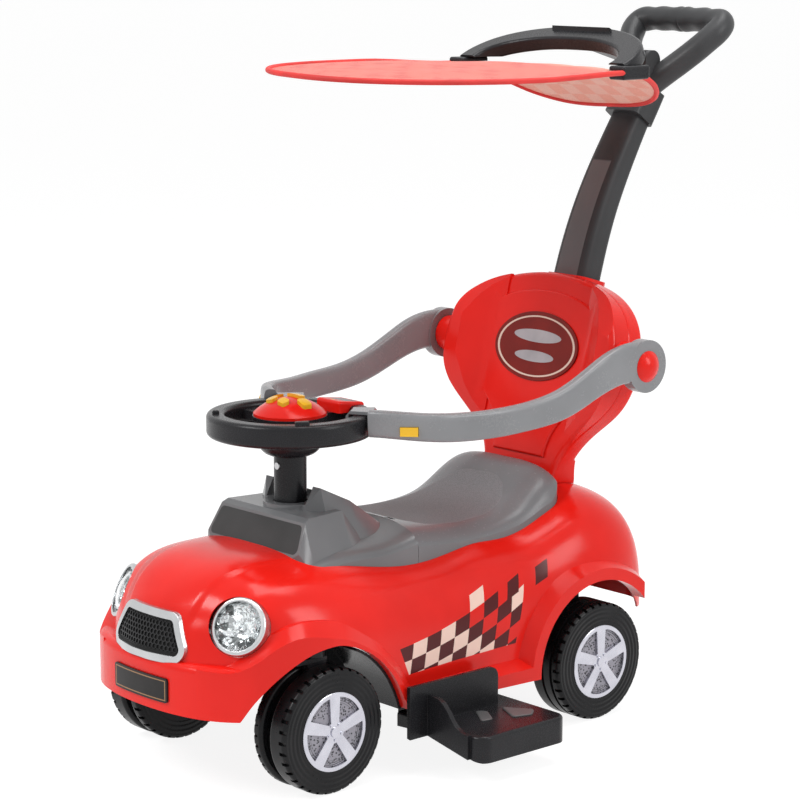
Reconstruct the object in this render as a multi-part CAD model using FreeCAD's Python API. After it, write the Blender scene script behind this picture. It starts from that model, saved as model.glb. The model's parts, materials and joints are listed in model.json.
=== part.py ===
import FreeCAD, Part
import math
import os
from FreeCAD import Vector

os.makedirs("parts", exist_ok=True)

# Sizes in mm. X is the car's left, -Y its front, Z up. Y is measured here from the middle of the wheelbase.
WHEELBASE = 410.0
WHEEL_R = 70.0
TRACK_OUT = 160.0
REAR_WHEEL_W = 46.0
TWIN_TYRE_W = 27.0
TWIN_INNER_W = 15.0
TWIN_GROOVE = 12.0
AXLE_R = 5.0
HUBCAP_R = 44.0
HUBCAP_DEEP = 4.0
TREAD_NOTCHES = 36

RUN_FIT = 0.06
GAP = 0.4
WALL = 3.0

BODY_HALF_W = 150.0
BODY_FRONT = -341.0
BUMPER_OUT = 4.0
BUMPER_IN = 2.0
BUMPER_TOP = 150.0
BODY_REAR = 325.0
TRIM_Z = 55.0
BODY_MID = 115.0
SILL_Z = 70.0
BUMPER_Z = 93.0
TAIL_Z = 117.0
FRONT_ARCH_R = 90.0
ARCH_DRAWN = 90.0
BAND_ROOT = 84.0
REAR_ARCH_R = 98.0
LIP_OUT = 161.0
LIP_ROOT = 118.0
LIP_DEEP = 14.0
LIP_SLOPE = 22.0
LIP_REACH = 74.0
DECK_Z = 204.0
DECK_T = 3.0
TUB_FRONT = -191.0
TUB_REAR = 211.0
TUB_HALF_W = 97.0
TUB_CORNER = 28.0

COLUMN_Y = -133.0
ROD_R = 6.0
SLEEVE_R = 18.5
RING_R = 83.0
RING_HALF_T = 10.5
RING_UP = 11.0
RING_DOWN = 15.0
RING_Z = 379.0
HUB_R = 42.0
SPOKE_HALF_W = 9.0
DOME_R = 41.0
DOME_H = 17.0
CRANK = 24.0
STEER_ANGLE = 20.0
CRANK_Z = 142.0
CRANK_T = 5.0
PIN_R = 4.0
KINGPIN_R = 7.0

SEAM_Y = -26.0
SEAT_HINGE_IN = 7.0
SEAT_PIN_R = 2.5

REST_LEAN = 14.6
REST_Y = 257.0
REST_Z = 419.0
REST_FRONT_T = 17.0
REST_REAR_T = 13.0
SPINE_HALF_W = 46.0
SPINE_DEEP = 27.0
PIVOT_Y = 258.0
PIVOT_Z = 419.0
PIVOT_R = 7.0
ARM_IN = 164.0
ARM_T = 15.0
HUB_ARM_R = 31.0
BOSS_ROOT = 118.0
BOSS_ROOT_R = 27.0

CANOPY_Z = 757.0
CLIP_Y = 265.0
CLIP_X = 137.0
HOOP_R = 2.5
TILT_Y = 428.0
TILT_Z = 760.0

FOOT_OUT = 250.0
FOOT_TOP = 55.0
FOOT_LOW = 25.0

FRONT_AXLE_Y = -WHEELBASE / 2
REAR_AXLE_Y = WHEELBASE / 2
KINGPIN_X = TRACK_OUT - TWIN_TYRE_W - TWIN_GROOVE / 2
X = Vector(1, 0, 0)
Y = Vector(0, 1, 0)
Z = Vector(0, 0, 1)
ORIGIN = Vector(0, 0, 0)
nodes = {}


def box(x0, x1, y0, y1, z0, z1):
    return Part.makeBox(x1 - x0, y1 - y0, z1 - z0, Vector(x0, y0, z0))


def rod(radius, start, end):
    return Part.makeCylinder(radius, (end - start).Length, start, end - start)


def mirrored(shape):
    return shape.mirror(ORIGIN, X)


def pair(shape):
    return shape.fuse(mirrored(shape))


def prism(points, direction):
    ring = [Vector(*p) for p in points]
    return Part.Face(Part.makePolygon(ring + ring[:1])).extrude(direction)


def power(value, exponent):
    return math.copysign(abs(value) ** exponent, value)


def closed_spline(points):
    curve = Part.BSplineCurve()
    curve.interpolate(points, PeriodicFlag=True)
    return Part.Wire(curve.toShape())


def open_spline(points):
    curve = Part.BSplineCurve()
    curve.interpolate(points)
    return curve


def dome_section(y, half_w, low, mid, top, roundness, count=13):
    """Cross-section at y: upright sides from low to mid, a superellipse crown above, flat underneath."""
    left = [Vector(half_w, y, low), Vector(half_w, y, (low + mid) / 2)]
    crown = []
    for k in range(count):
        a = math.pi * k / (count - 1)
        crown.append(Vector(half_w * power(math.cos(a), 2 / roundness), y,
                            mid + (top - mid) * power(math.sin(a), 2 / roundness)))
    right = [Vector(-p.x, y, p.z) for p in reversed(left)]
    skin = open_spline(left + crown + right).toShape()
    return Part.Wire([skin, Part.makeLine(right[-1], left[0])])


def along_path(path, sizes, across, count, square, share):
    """Solid along a curve: at each station a rounded section of width (along across) and depth."""
    wires = []
    for k in range(count):
        f = share * k / (count - 1)
        u = path.FirstParameter + f * (path.LastParameter - path.FirstParameter)
        centre = path.value(u)
        along = path.tangent(u)[0]
        depth_dir = along.cross(across).normalize()
        width_dir = depth_dir.cross(along).normalize()
        i = min(int(f * (len(sizes) - 1)), len(sizes) - 2)
        g = f * (len(sizes) - 1) - i
        w = sizes[i][0] + g * (sizes[i + 1][0] - sizes[i][0])
        d = sizes[i][1] + g * (sizes[i + 1][1] - sizes[i][1])
        ring = []
        for m in range(16):
            a = 2 * math.pi * (m + 0.5) / 16
            ring.append(centre + width_dir * (w / 2 * power(math.cos(a), 2 / square))
                        + depth_dir * (d / 2 * power(math.sin(a), 2 / square)))
        wires.append(closed_spline(ring))
    return Part.makeLoft(wires, True)


def sweep(points, sizes, across, count=14, square=4.0, share=1.0):
    return along_path(open_spline([Vector(*p) for p in points]), sizes, across, count, square, share)


def tub(inset, z0, z1):
    """Rounded plan of the seat and cowl well, as a block."""
    block = box(inset - TUB_HALF_W, TUB_HALF_W - inset, TUB_FRONT + inset, TUB_REAR - inset, z0, z1)
    upright = [e for e in block.Edges if abs(e.tangentAt(e.FirstParameter).z) > 0.9]
    return block.makeFillet(TUB_CORNER - inset, upright)


# Body stations from nose to tail: distance along, share of the half width, crown height, roundness.
BODY_STATIONS = [(BODY_FRONT, 0.14, 152, 2.3), (BODY_FRONT + 3, 0.25, 166, 2.3), (BODY_FRONT + 10, 0.40, 185, 2.3),
                 (BODY_FRONT + 20, 0.54, 207, 2.4), (BODY_FRONT + 36, 0.69, 223, 2.9),
                 (BODY_FRONT + 60, 0.835, 238, 3.1), (BODY_FRONT + 95, 0.945, 247, 3.1),
                 (FRONT_AXLE_Y, 1.0, 249, 3.0), (FRONT_AXLE_Y + 60, 1.0, 245, 3.0),
                 (SEAM_Y, 0.955, 229, 3.0), (SEAM_Y + 70, 0.955, 238, 3.0),
                 (REAR_AXLE_Y - 70, 0.975, 241, 3.2), (REAR_AXLE_Y - 25, 1.0, 256, 3.4),
                 (BODY_REAR - 75, 1.0, 264, 3.5), (BODY_REAR - 40, 0.94, 252, 3.4),
                 (BODY_REAR - 18, 0.84, 234, 3.2), (BODY_REAR - 6, 0.72, 214, 3.0), (BODY_REAR, 0.62, 196, 3.0)]


def body_loft(inset):
    wires = []
    for k, (y, share, crown, roundness) in enumerate(BODY_STATIONS):
        end = 1 if k == 0 else -1 if k == len(BODY_STATIONS) - 1 else 0
        low = TRIM_Z - 40 if inset > 0 else TRIM_Z
        wires.append(dome_section(y + end * inset, share * BODY_HALF_W - inset, low, BODY_MID, crown - inset,
                                  roundness))
    return Part.makeLoft(wires, True)


def bumper_plan(inset, low, top, back_y):
    """Upright block over the bumper's bowed plan, its sides running back to back_y."""
    f = BODY_FRONT - BUMPER_OUT + inset
    w = LIP_OUT - BUMPER_IN - inset
    half = [Vector(0, f, low), Vector(0.42 * w, f + 7, low), Vector(0.70 * w, f + 26, low),
            Vector(0.86 * w, f + 54, low), Vector(0.955 * w, f + 92, low), Vector(w, f + 140, low)]
    front = open_spline([Vector(-p.x, p.y, low) for p in half[:0:-1]] + half).toShape()
    corner = [half[-1], Vector(w, back_y, low), Vector(-w, back_y, low), Vector(-w, half[-1].y, low)]
    sides = [Part.makeLine(corner[k], corner[k + 1]) for k in range(3)]
    return Part.Face(Part.Wire([front] + sides)).extrude(Z * (top - low))


def bumper_block(inset):
    """Bumper below the nose, its top edge rounded."""
    back_y = FRONT_AXLE_Y + 10
    top = BUMPER_TOP - inset
    block = bumper_plan(inset, TRIM_Z - 40 if inset else TRIM_Z, top, back_y)
    if inset:
        return block
    rim = [e for e in block.Edges if e.BoundBox.ZMin > top - 1 and e.BoundBox.YMin < back_y - 40]
    return block.makeFillet(8, rim)


# Front wheel arch seen from the side, from bumper to sill: distance from the axle and height above it.
# The band over it: the same, then the x where its slope begins and how far it slopes in towards the arch.
FRONT_ARCH = [(-112, 4), (-106, 15), (-100, 25), (-92, 39), (-82, 52), (-69, 65), (-55, 75.5), (-40, 84), (-25, 90),
              (-8, 93.5), (9, 94), (31, 88), (52, 78), (71, 63), (87, 44.5), (98, 25), (107, 2), (111, -20)]
FRONT_BAND = [(-150, 78, 95, 1), (-125, 77.5, 98, 2), (-112, 77, 101, 3), (-103, 79, 105, 4), (-95, 84.5, 109, 6),
              (-87, 91, 114, 8), (-79, 99, 119, 10), (-69, 108, 126, 13), (-57, 115, 133, 15), (-44, 120, 139, 17),
              (-20, 122.5, 142, 19), (3, 120, 143, 19), (24, 115, 143, 19), (41, 108, 143, 19), (61, 97, 143, 19),
              (81, 83.5, 143, 19), (95, 69, 143, 19), (106, 55.5, 143, 19), (116, 40, 143, 19), (124, 24.6, 143, 19),
              (129, 8, 143, 19), (131, -12, 143, 19)]


def side_wire(points):
    """Closed outline: a smooth line through the points, closed straight below the body."""
    ends = [points[-1], Vector(points[-1].x, points[-1].y, 0), Vector(points[0].x, points[0].y, 0), points[0]]
    return Part.Wire([open_spline(points).toShape()] + [Part.makeLine(ends[k], ends[k + 1]) for k in range(3)])


def front_arch_space(inset=0.0):
    """Room for the front wheels, through the whole body."""
    grow = (FRONT_ARCH_R - inset) / ARCH_DRAWN
    points = [Vector(-200, FRONT_AXLE_Y + y * grow, WHEEL_R + z * grow) for y, z in FRONT_ARCH]
    return Part.Face(side_wire(points)).extrude(X * 400)


def front_band():
    """Band from the bumper's corner over the front wheel, sloping outwards."""
    grow = FRONT_ARCH_R / ARCH_DRAWN
    root, crease, edge = [], [], []
    for y, z, x, slope in FRONT_BAND:
        at = Vector(0, FRONT_AXLE_Y + y * grow, WHEEL_R + z * grow)
        inward = (Vector(0, FRONT_AXLE_Y, WHEEL_R) - at).normalize()
        root.append(at + X * BAND_ROOT)
        crease.append(at + X * x)
        edge.append(at + X * LIP_OUT + inward * slope)
    solid = Part.makeLoft([side_wire(root), side_wire(crease), side_wire(edge)], True, True)
    return solid.common(bumper_plan(0, -10, 400, 0))


def build_body():
    outer = body_loft(0)
    skin = outer.fuse(bumper_block(0))
    edge = REAR_ARCH_R + LIP_DEEP
    rear_at = Vector(LIP_ROOT, REAR_AXLE_Y, WHEEL_R)
    rear_lip = Part.makeCone(edge + LIP_SLOPE, edge, LIP_OUT - LIP_ROOT, rear_at, X)
    rear_lip = rear_lip.common(box(0, 300, -500, REAR_AXLE_Y + LIP_REACH, 0, 500))
    sill = [(LIP_ROOT, TRIM_Z), (LIP_OUT, TRIM_Z), (LIP_OUT, SILL_Z + LIP_DEEP),
            (LIP_ROOT, SILL_Z + LIP_DEEP + LIP_SLOPE)]
    y0 = FRONT_AXLE_Y + FRONT_ARCH_R - 15
    y1 = REAR_AXLE_Y - REAR_ARCH_R + 15
    sill_lip = prism([(x, y0, z) for x, z in sill], Y * (y1 - y0))
    for lip in (front_band(), rear_lip, sill_lip):
        skin = skin.fuse(pair(lip))
    skin = skin.cut(body_loft(WALL)).cut(bumper_block(WALL + 1))
    deck = outer.common(box(-BODY_HALF_W, BODY_HALF_W, TUB_FRONT - 10, TUB_REAR + 8, DECK_Z - DECK_T, DECK_Z))
    skin = skin.cut(tub(0, DECK_Z, 400)).fuse(deck)
    skin = skin.cut(front_arch_space())
    skin = skin.cut(Part.makeCylinder(REAR_ARCH_R, 400, Vector(-200, REAR_AXLE_Y, WHEEL_R), X))
    low = [(-450, BUMPER_Z), (FRONT_AXLE_Y, BUMPER_Z), (FRONT_AXLE_Y, SILL_Z + 6), (REAR_AXLE_Y, SILL_Z - 5),
           (REAR_AXLE_Y, TAIL_Z), (450, TAIL_Z), (450, -50), (-450, -50)]
    return skin.cut(prism([(-300, y, z) for y, z in low], X * 600))


# Lamps, grille and plate
LAMP = Vector(102.5, -288.0, 190.0)
LAMP_AXIS = Vector(0.40, -0.82, 0.40).normalize()
LAMP_R = 32.0
LAMP_BACK = 18.0
LAMP_OUT = 5.0


def lamp_rod(radius, back, out):
    return rod(radius, LAMP - LAMP_AXIS * back, LAMP + LAMP_AXIS * out)


def front_prism(half, depth, corner):
    """Block along Y over a front-view outline given for the left half, bottom to top, corners rounded."""
    ring = half + [(-x, z) for x, z in reversed(half)]
    block = prism([(x, BODY_FRONT - 30, z) for x, z in ring], Y * depth)
    return block.makeFillet(corner, [e for e in block.Edges if abs(e.tangentAt(e.FirstParameter).y) > 0.9])


GRILLE = [(71, 147), (44, 200)]
GRILLE_HOLE = [(59.5, 155), (40, 192)]
GRILLE_CORNER = 15.0
GRILLE_RIM = 8.0
PLATE = [(47, 104), (47, 131)]
PLATE_CORNER = 3.0


def shifted(shape, dy):
    return shape.translated(Vector(0, dy, 0))


body = build_body()
nose = body_loft(0).fuse(bumper_block(0))
proud = shifted(body_loft(0), -5).fuse(body_loft(-2))
mesh_zone = front_prism(GRILLE_HOLE, 90, GRILLE_CORNER - GRILLE_RIM)
frame_zone = front_prism(GRILLE, 90, GRILLE_CORNER).cut(mesh_zone)
nodes["grille_frame"] = frame_zone.common(proud).cut(nose)
nodes["grille_mesh"] = mesh_zone.common(shifted(body_loft(0), -2)).cut(nose)
plate_zone = front_prism(PLATE, 90, PLATE_CORNER)
nodes["number_plate"] = plate_zone.common(shifted(bumper_block(0), -2.5)).cut(nose)
lamp_pocket = lamp_rod(LAMP_R + 0.3, LAMP_BACK + 0.3, 60)
body = body.cut(pair(lamp_pocket))
bezel = lamp_rod(LAMP_R, LAMP_BACK, LAMP_OUT)
rim = [e for e in bezel.Edges if (e.BoundBox.Center - LAMP - LAMP_AXIS * LAMP_OUT).Length < 2]
bezel = bezel.makeFillet(3, rim).cut(lamp_rod(LAMP_R - 5, LAMP_BACK - 4, 60))
lens_ball = Part.makeSphere(48, LAMP - LAMP_AXIS * (48 - LAMP_OUT - 4))
lens_hollow = Part.makeSphere(45.5, LAMP - LAMP_AXIS * (48 - LAMP_OUT - 4))
lens = lens_ball.cut(lens_hollow).common(lamp_rod(LAMP_R - 5 - 0.1, -1, 40))
for side, turn in (("left", None), ("right", mirrored)):
    nodes["headlight_bezel_" + side] = turn(bezel) if turn else bezel
    nodes["headlight_lens_" + side] = turn(lens) if turn else lens

# Cowl and seat share the well in the body. The seat turns up about a pin under its front top edge.
COWL_STATIONS = [(-192, 238), (-187, 241), (-164, 247), (-131, 250), (-100, 250), (-70, 250), (-45, 253),
                 (SEAM_Y, 258)]
# Flat-sided blocks on the cowl, front to rear: distance, top half width, top height, foot half width, foot height.
DASH = [(-191, 82, 243, 95, 222), (-173, 74, 280, 92, 228), (-166, 72, 284, 91, 228), (-112, 64, 284, 88, 226),
        (-84, 62, 250, 84, 222)]
HUMP = [(-143, 34, 284, 58, 240), (-129, 48, 309, 70, 240), (-84, 45, 288, 74, 232), (-52, 42, 266, 78, 226),
        (-34, 40, 254, 80, 224)]
COLLAR_R = 31.0
COLLAR_TOP = 289.0
SEAT_STATIONS = [(SEAM_Y, 258), (10, 252), (60, 249), (105, 252), (138, 262), (162, 278), (182, 291),
                 (200, 294), (211, 285)]
WELL_FLOOR = DECK_Z


def well_loft(stations, inset, roundness):
    wires = [dome_section(y, TUB_HALF_W + 4 - inset, 120, WELL_FLOOR, z - inset, roundness) for y, z in stations]
    return Part.makeLoft(wires, True)


def flat_sided(stations):
    """Block of straight-sided sections, its faces flat between them."""
    wires = []
    for y, top_w, top_z, foot_w, foot_z in stations:
        half = [(foot_w, WELL_FLOOR), (foot_w, foot_z), (top_w, top_z)]
        ring = [Vector(x, y, z) for x, z in half + [(-x, z) for x, z in reversed(half)]]
        wires.append(Part.makePolygon(ring + ring[:1]))
    return Part.makeLoft(wires, True, True)


column = Vector(0, COLUMN_Y, 0)
cowl_solid = well_loft(COWL_STATIONS, 0, 4.0).fuse(flat_sided(DASH)).fuse(flat_sided(HUMP))
cowl_zone = tub(GAP, WELL_FLOOR, 400).common(box(-200, 200, -300, SEAM_Y - GAP, 0, 500))
hollow_zone = tub(GAP + WALL, 0, 400).common(box(-200, 200, -300, SEAM_Y - GAP - 14, 0, 500))
cowl = cowl_solid.common(cowl_zone).cut(well_loft(COWL_STATIONS, WALL, 4.0).common(hollow_zone))
collar_space = Part.makeCylinder(COLLAR_R + 4, 400, column + Z * COLLAR_TOP)
cowl = cowl.cut(collar_space).fuse(Part.makeCylinder(COLLAR_R, COLLAR_TOP - 270, column + Z * 270))
cowl = cowl.cut(Part.makeCylinder(SLEEVE_R + 1, 200, column + Z * 200))
SCREEN = [(78, 247), (71, 277)]
screen_zone = front_prism(SCREEN, 205, 6)
screen_skin = screen_zone.common(cowl_solid).cut(shifted(cowl_solid, 2.2))
nodes["windscreen_panel"] = screen_skin
cowl = cowl.cut(screen_skin)

hinge_y = SEAM_Y + SEAT_HINGE_IN
hinge_z = SEAT_STATIONS[0][1] - SEAT_HINGE_IN
# How far the seat's rear wall stands in from the well at each height, so it clears the well as it swings.
SEAT_SWING = [(WELL_FLOOR + GAP, 5.8), (212, 4.2), (222, 2.6), (234, 1.3), (hinge_z, 0.5), (400, 0.5)]
SEAT_WALL = 5.0
seat_rim = [f for f in tub(GAP, 0, 1).Faces if f.BoundBox.ZMax < 0.01][0].OuterWire
seat_plan = Part.makeLoft([seat_rim.translated(Vector(0, -back, z)) for z, back in SEAT_SWING], True, True)
seat_zone = seat_plan.common(box(-200, 200, SEAM_Y, 400, 0, 500))
seat_hollow = tub(GAP + SEAT_WALL, 0, 400).translated(Y * -SEAT_SWING[0][1])
seat_hollow = seat_hollow.common(box(-200, 200, SEAM_Y + 15, 400, 0, 500))
seat = well_loft(SEAT_STATIONS, 0, 3.5).common(seat_zone)
seat = seat.cut(well_loft(SEAT_STATIONS, 4.5, 3.5).common(seat_hollow))
edge_zone = box(-200, 200, SEAM_Y - 5, hinge_y, hinge_z, hinge_z + 30)
edge_round = Part.makeCylinder(SEAT_HINGE_IN - GAP, 400, Vector(-200, hinge_y, hinge_z), X)
seat = seat.cut(edge_zone.cut(edge_round)).cut(box(-200, 200, SEAM_Y - 5, SEAM_Y + 22, 0, WELL_FLOOR + 5.5))
lug_half = 5.0
lug_x = 36.0
lug = box(lug_x - lug_half, lug_x + lug_half, SEAM_Y - 14, hinge_y, hinge_z - 7, hinge_z - 1.5)
lug = lug.fuse(Part.makeCylinder(5, 2 * lug_half, Vector(lug_x - lug_half, hinge_y, hinge_z), X))
slot = box(lug_x - lug_half - 1, lug_x + lug_half + 1, SEAM_Y - 1, hinge_y + 6.5, hinge_z - 18, hinge_z + 5.6)
pin_bore = Part.makeCylinder(SEAT_PIN_R + RUN_FIT, 120, Vector(-60, hinge_y, hinge_z), X)
nodes["seat_lid"] = seat.cut(pair(slot)).cut(pin_bore)
nodes["dash_cowl"] = cowl.fuse(pair(lug)).cut(Part.makeCylinder(SEAT_PIN_R, 120, Vector(-60, hinge_y, hinge_z), X))
nodes["seat_hinge_pin"] = Part.makeCylinder(SEAT_PIN_R, 110, Vector(-55, hinge_y, hinge_z), X)

# Storage bin through the deck, under the seat
BIN_HALF_W = 78.0
BIN_FRONT = -8.0
BIN_REAR = 188.0
BIN_LOW = 100.0
hole = box(-BIN_HALF_W - GAP, BIN_HALF_W + GAP, BIN_FRONT - GAP, BIN_REAR + GAP, 150, DECK_Z + 1)
bin_block = box(-BIN_HALF_W, BIN_HALF_W, BIN_FRONT, BIN_REAR, BIN_LOW, DECK_Z)
bin_flange = box(-BIN_HALF_W - 6, BIN_HALF_W + 6, BIN_FRONT - 3, BIN_REAR + 6, DECK_Z, DECK_Z + 2)
bin_space = box(3 - BIN_HALF_W, BIN_HALF_W - 3, BIN_FRONT + 3, BIN_REAR - 3, BIN_LOW + 3, DECK_Z + 9)
nodes["storage_bin"] = bin_block.fuse(bin_flange).cut(bin_space)
body = body.cut(hole).cut(Part.makeCylinder(SLEEVE_R + 1, 100, column + Z * 150))

# Chassis tray with kingpin bosses, column bearing, axle brackets and posts up to the deck
CHASSIS_Z = 164.0
CHASSIS_T = 6.0
LINER_X = 76.0
plate_top = CHASSIS_Z + CHASSIS_T
kingpin = Vector(KINGPIN_X, FRONT_AXLE_Y, 0)
chassis = box(-104, 104, FRONT_AXLE_Y - 40, REAR_AXLE_Y + 70, CHASSIS_Z, plate_top)
chassis = chassis.cut(box(-BIN_HALF_W - 2, BIN_HALF_W + 2, BIN_FRONT - 2, BIN_REAR + 2, 0, 400))
ear = box(90, KINGPIN_X, FRONT_AXLE_Y - 11, FRONT_AXLE_Y + 11, CHASSIS_Z, plate_top)
boss_low = CRANK_Z + CRANK_T + 0.5
boss = Part.makeCylinder(KINGPIN_R + 4, 176 - boss_low, kingpin + Z * boss_low)
bracket_x = TRACK_OUT - REAR_WHEEL_W - 8
bracket = box(bracket_x - 7, bracket_x, REAR_AXLE_Y - 18, REAR_AXLE_Y + 18, WHEEL_R - 14, CHASSIS_Z)
posts = [Part.makeCylinder(8, DECK_Z - DECK_T - plate_top, Vector(90, y, plate_top)) for y in (-90, 60, 200)]
liner = box(LINER_X - WALL, LINER_X + 1, FRONT_AXLE_Y - 40, FRONT_AXLE_Y + 84, BUMPER_Z + 12, CHASSIS_Z)
well = front_arch_space(GAP).cut(front_arch_space(GAP + WALL))
well = well.common(box(LINER_X, LINER_X + 72, FRONT_AXLE_Y + 42, FRONT_AXLE_Y + 200, SILL_Z + 2, CHASSIS_Z))
tie_y = FRONT_AXLE_Y - CRANK
tie_swing = CRANK * (1 - math.cos(math.radians(STEER_ANGLE)))
liner = liner.cut(box(0, 200, tie_y - 9, tie_y + tie_swing + 9, CRANK_Z, CHASSIS_Z))
for piece in [ear, boss, bracket, liner, well] + posts:
    chassis = chassis.fuse(pair(piece))
chassis = chassis.fuse(Part.makeCylinder(13, 30, column + Z * CHASSIS_Z))
chassis = chassis.cut(Part.makeCylinder(ROD_R + RUN_FIT, 100, column + Z * (CHASSIS_Z - 10)))
chassis = chassis.cut(pair(Part.makeCylinder(KINGPIN_R + RUN_FIT, 60, kingpin + Z * 130)))
nodes["chassis_tray"] = chassis.cut(rod(AXLE_R, Vector(-200, REAR_AXLE_Y, WHEEL_R), Vector(200, REAR_AXLE_Y, WHEEL_R)))

# Wheels
front_hub = Vector(0, FRONT_AXLE_Y, WHEEL_R)
rear_hub = Vector(0, REAR_AXLE_Y, WHEEL_R)


def notches(x0, x1, hub):
    cuts = []
    for k in range(TREAD_NOTCHES):
        block = box(x0, x1, -2, 2, WHEEL_R - 3, WHEEL_R + 3)
        block.rotate(ORIGIN, X, 360.0 * k / TREAD_NOTCHES)
        cuts.append(block.translated(hub))
    return Part.makeCompound(cuts)


def tyre(x0, x1, hub, bore, outer_face):
    disc = Part.makeCylinder(WHEEL_R, x1 - x0, hub + X * x0, X)
    disc = disc.makeFillet(5, [e for e in disc.Edges if e.Closed])
    disc = disc.cut(Part.makeCylinder(bore, 400, hub - X * 200, X))
    if outer_face:
        disc = disc.cut(Part.makeCylinder(HUBCAP_R + 0.2, 20, hub + X * (x1 - HUBCAP_DEEP), X))
        disc = disc.cut(notches(x1 - 9, x1 + 1, hub))
    else:
        disc = disc.cut(notches(x0 - 1, x0 + 9, hub))
    return disc


def groove(x, width, hub):
    ring = Part.makeCylinder(WHEEL_R + 5, width, hub + X * x, X)
    return ring.cut(Part.makeCylinder(WHEEL_R - 2.5, width, hub + X * x, X))


def hubcap(hub):
    """Five-spoke cap: dished disc with five pockets between the spokes and a boss with nuts."""
    x0 = TRACK_OUT - HUBCAP_DEEP
    disc = Part.makeCylinder(HUBCAP_R, HUBCAP_DEEP + 1.5, hub + X * x0, X)
    disc = disc.makeFillet(1.2, [e for e in disc.Edges if e.Closed and e.BoundBox.XMin > x0 + 1])
    spoke_face = x0 + HUBCAP_DEEP + 1.5
    ring = Part.makeCylinder(HUBCAP_R - 5, 4, hub + X * (spoke_face - 3), X)
    ring = ring.cut(Part.makeCylinder(12, 4, hub + X * (spoke_face - 3), X))
    for k in range(5):
        spoke = prism([(spoke_face - 3, -5, 0), (spoke_face - 3, 5, 0), (spoke_face - 3, 7.5, HUBCAP_R),
                       (spoke_face - 3, -7.5, HUBCAP_R)], X * 4)
        spoke.rotate(ORIGIN, X, 72.0 * k)
        ring = ring.cut(spoke.translated(hub))
    disc = disc.cut(ring)
    for k in range(5):
        a = math.radians(72.0 * k + 36)
        nut = hub + X * (spoke_face - 1) + Vector(0, -9 * math.sin(a), 9 * math.cos(a))
        disc = disc.fuse(Part.makeCylinder(1.6, 2.2, nut, X))
    return disc.fuse(Part.makeCylinder(6, 2.5, hub + X * (spoke_face - 1), X))


outer_x0 = TRACK_OUT - TWIN_TYRE_W
inner_x0 = outer_x0 - TWIN_GROOVE - TWIN_INNER_W
twin_out = tyre(outer_x0, TRACK_OUT, front_hub, AXLE_R, True)
twin_in = tyre(inner_x0, inner_x0 + TWIN_INNER_W, front_hub, AXLE_R, False)
wide = tyre(TRACK_OUT - REAR_WHEEL_W, TRACK_OUT, rear_hub, AXLE_R + RUN_FIT, True)
for share in (0.32, 0.62):
    wide = wide.cut(groove(TRACK_OUT - REAR_WHEEL_W * share, 4, rear_hub))
front_axle = rod(AXLE_R, front_hub + X * (inner_x0 + 2), front_hub + X * (TRACK_OUT - HUBCAP_DEEP))
caps = {"front": hubcap(front_hub), "rear": hubcap(rear_hub)}
nodes["rear_axle"] = rod(AXLE_R, rear_hub - X * (TRACK_OUT - 6), rear_hub + X * (TRACK_OUT - 6))

# Knuckles, tie rod and steering rod: an exact parallelogram
crank_top = CRANK_Z + CRANK_T
strut_t = TWIN_GROOVE - 3
strut = box(KINGPIN_X - strut_t / 2, KINGPIN_X + strut_t / 2, FRONT_AXLE_Y - 13, FRONT_AXLE_Y + 13, WHEEL_R, crank_top)
strut = strut.fuse(Part.makeCylinder(13, strut_t, front_hub + X * (KINGPIN_X - strut_t / 2), X))
steer_arm = box(KINGPIN_X - 6, KINGPIN_X + 6, FRONT_AXLE_Y - CRANK, FRONT_AXLE_Y + 13, CRANK_Z, crank_top)
arm_end = kingpin - Y * CRANK
steer_arm = steer_arm.fuse(Part.makeCylinder(6, CRANK_T, arm_end + Z * CRANK_Z))
knuckle = strut.fuse(steer_arm).fuse(rod(KINGPIN_R, kingpin + Z * (crank_top - 1), kingpin + Z * 175.5))
knuckle = knuckle.fuse(rod(PIN_R, arm_end + Z * (crank_top - 1), arm_end + Z * (crank_top + 7)))
knuckle = knuckle.cut(rod(AXLE_R + RUN_FIT, front_hub, front_hub + X * 200))

for side, turn in (("left", None), ("right", mirrored)):
    def placed(shape):
        return turn(shape) if turn else shape
    nodes["front_wheel_" + side] = placed(Part.makeCompound([twin_out, twin_in]))
    nodes["front_axle_" + side] = placed(front_axle)
    nodes["front_hubcap_" + side] = placed(caps["front"])
    nodes["rear_wheel_" + side] = placed(wide)
    nodes["rear_hubcap_" + side] = placed(caps["rear"])
    nodes["knuckle_" + side] = placed(knuckle)

tie_z = crank_top + 1
tie_t = 5.0
crank_end = column - Y * CRANK
tie = box(-KINGPIN_X, KINGPIN_X, arm_end.y - 6, arm_end.y + 6, tie_z, tie_z + tie_t)
tie = tie.fuse(box(-7, 7, arm_end.y, crank_end.y, tie_z, tie_z + tie_t))
tie = tie.fuse(Part.makeCylinder(7, tie_t, crank_end + Z * tie_z))
tie = tie.fuse(pair(Part.makeCylinder(6, tie_t, arm_end + Z * tie_z)))
tie = tie.cut(pair(Part.makeCylinder(PIN_R + 0.3, 40, arm_end + Z * 130)))
nodes["tie_rod"] = tie.cut(Part.makeCylinder(PIN_R + RUN_FIT, 40, crank_end + Z * 130))
steering_top = RING_Z - 12
steering = rod(ROD_R, column + Z * CRANK_Z, column + Z * steering_top)
steering = steering.fuse(Part.makeCylinder(9, CRANK_T, column + Z * CRANK_Z))
steering = steering.fuse(box(-6, 6, crank_end.y, COLUMN_Y, CRANK_Z, crank_top))
steering = steering.fuse(Part.makeCylinder(6, CRANK_T, crank_end + Z * CRANK_Z))
nodes["steering_rod"] = steering.fuse(rod(PIN_R, crank_end + Z * (crank_top - 1), crank_end + Z * (crank_top + 7)))

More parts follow.
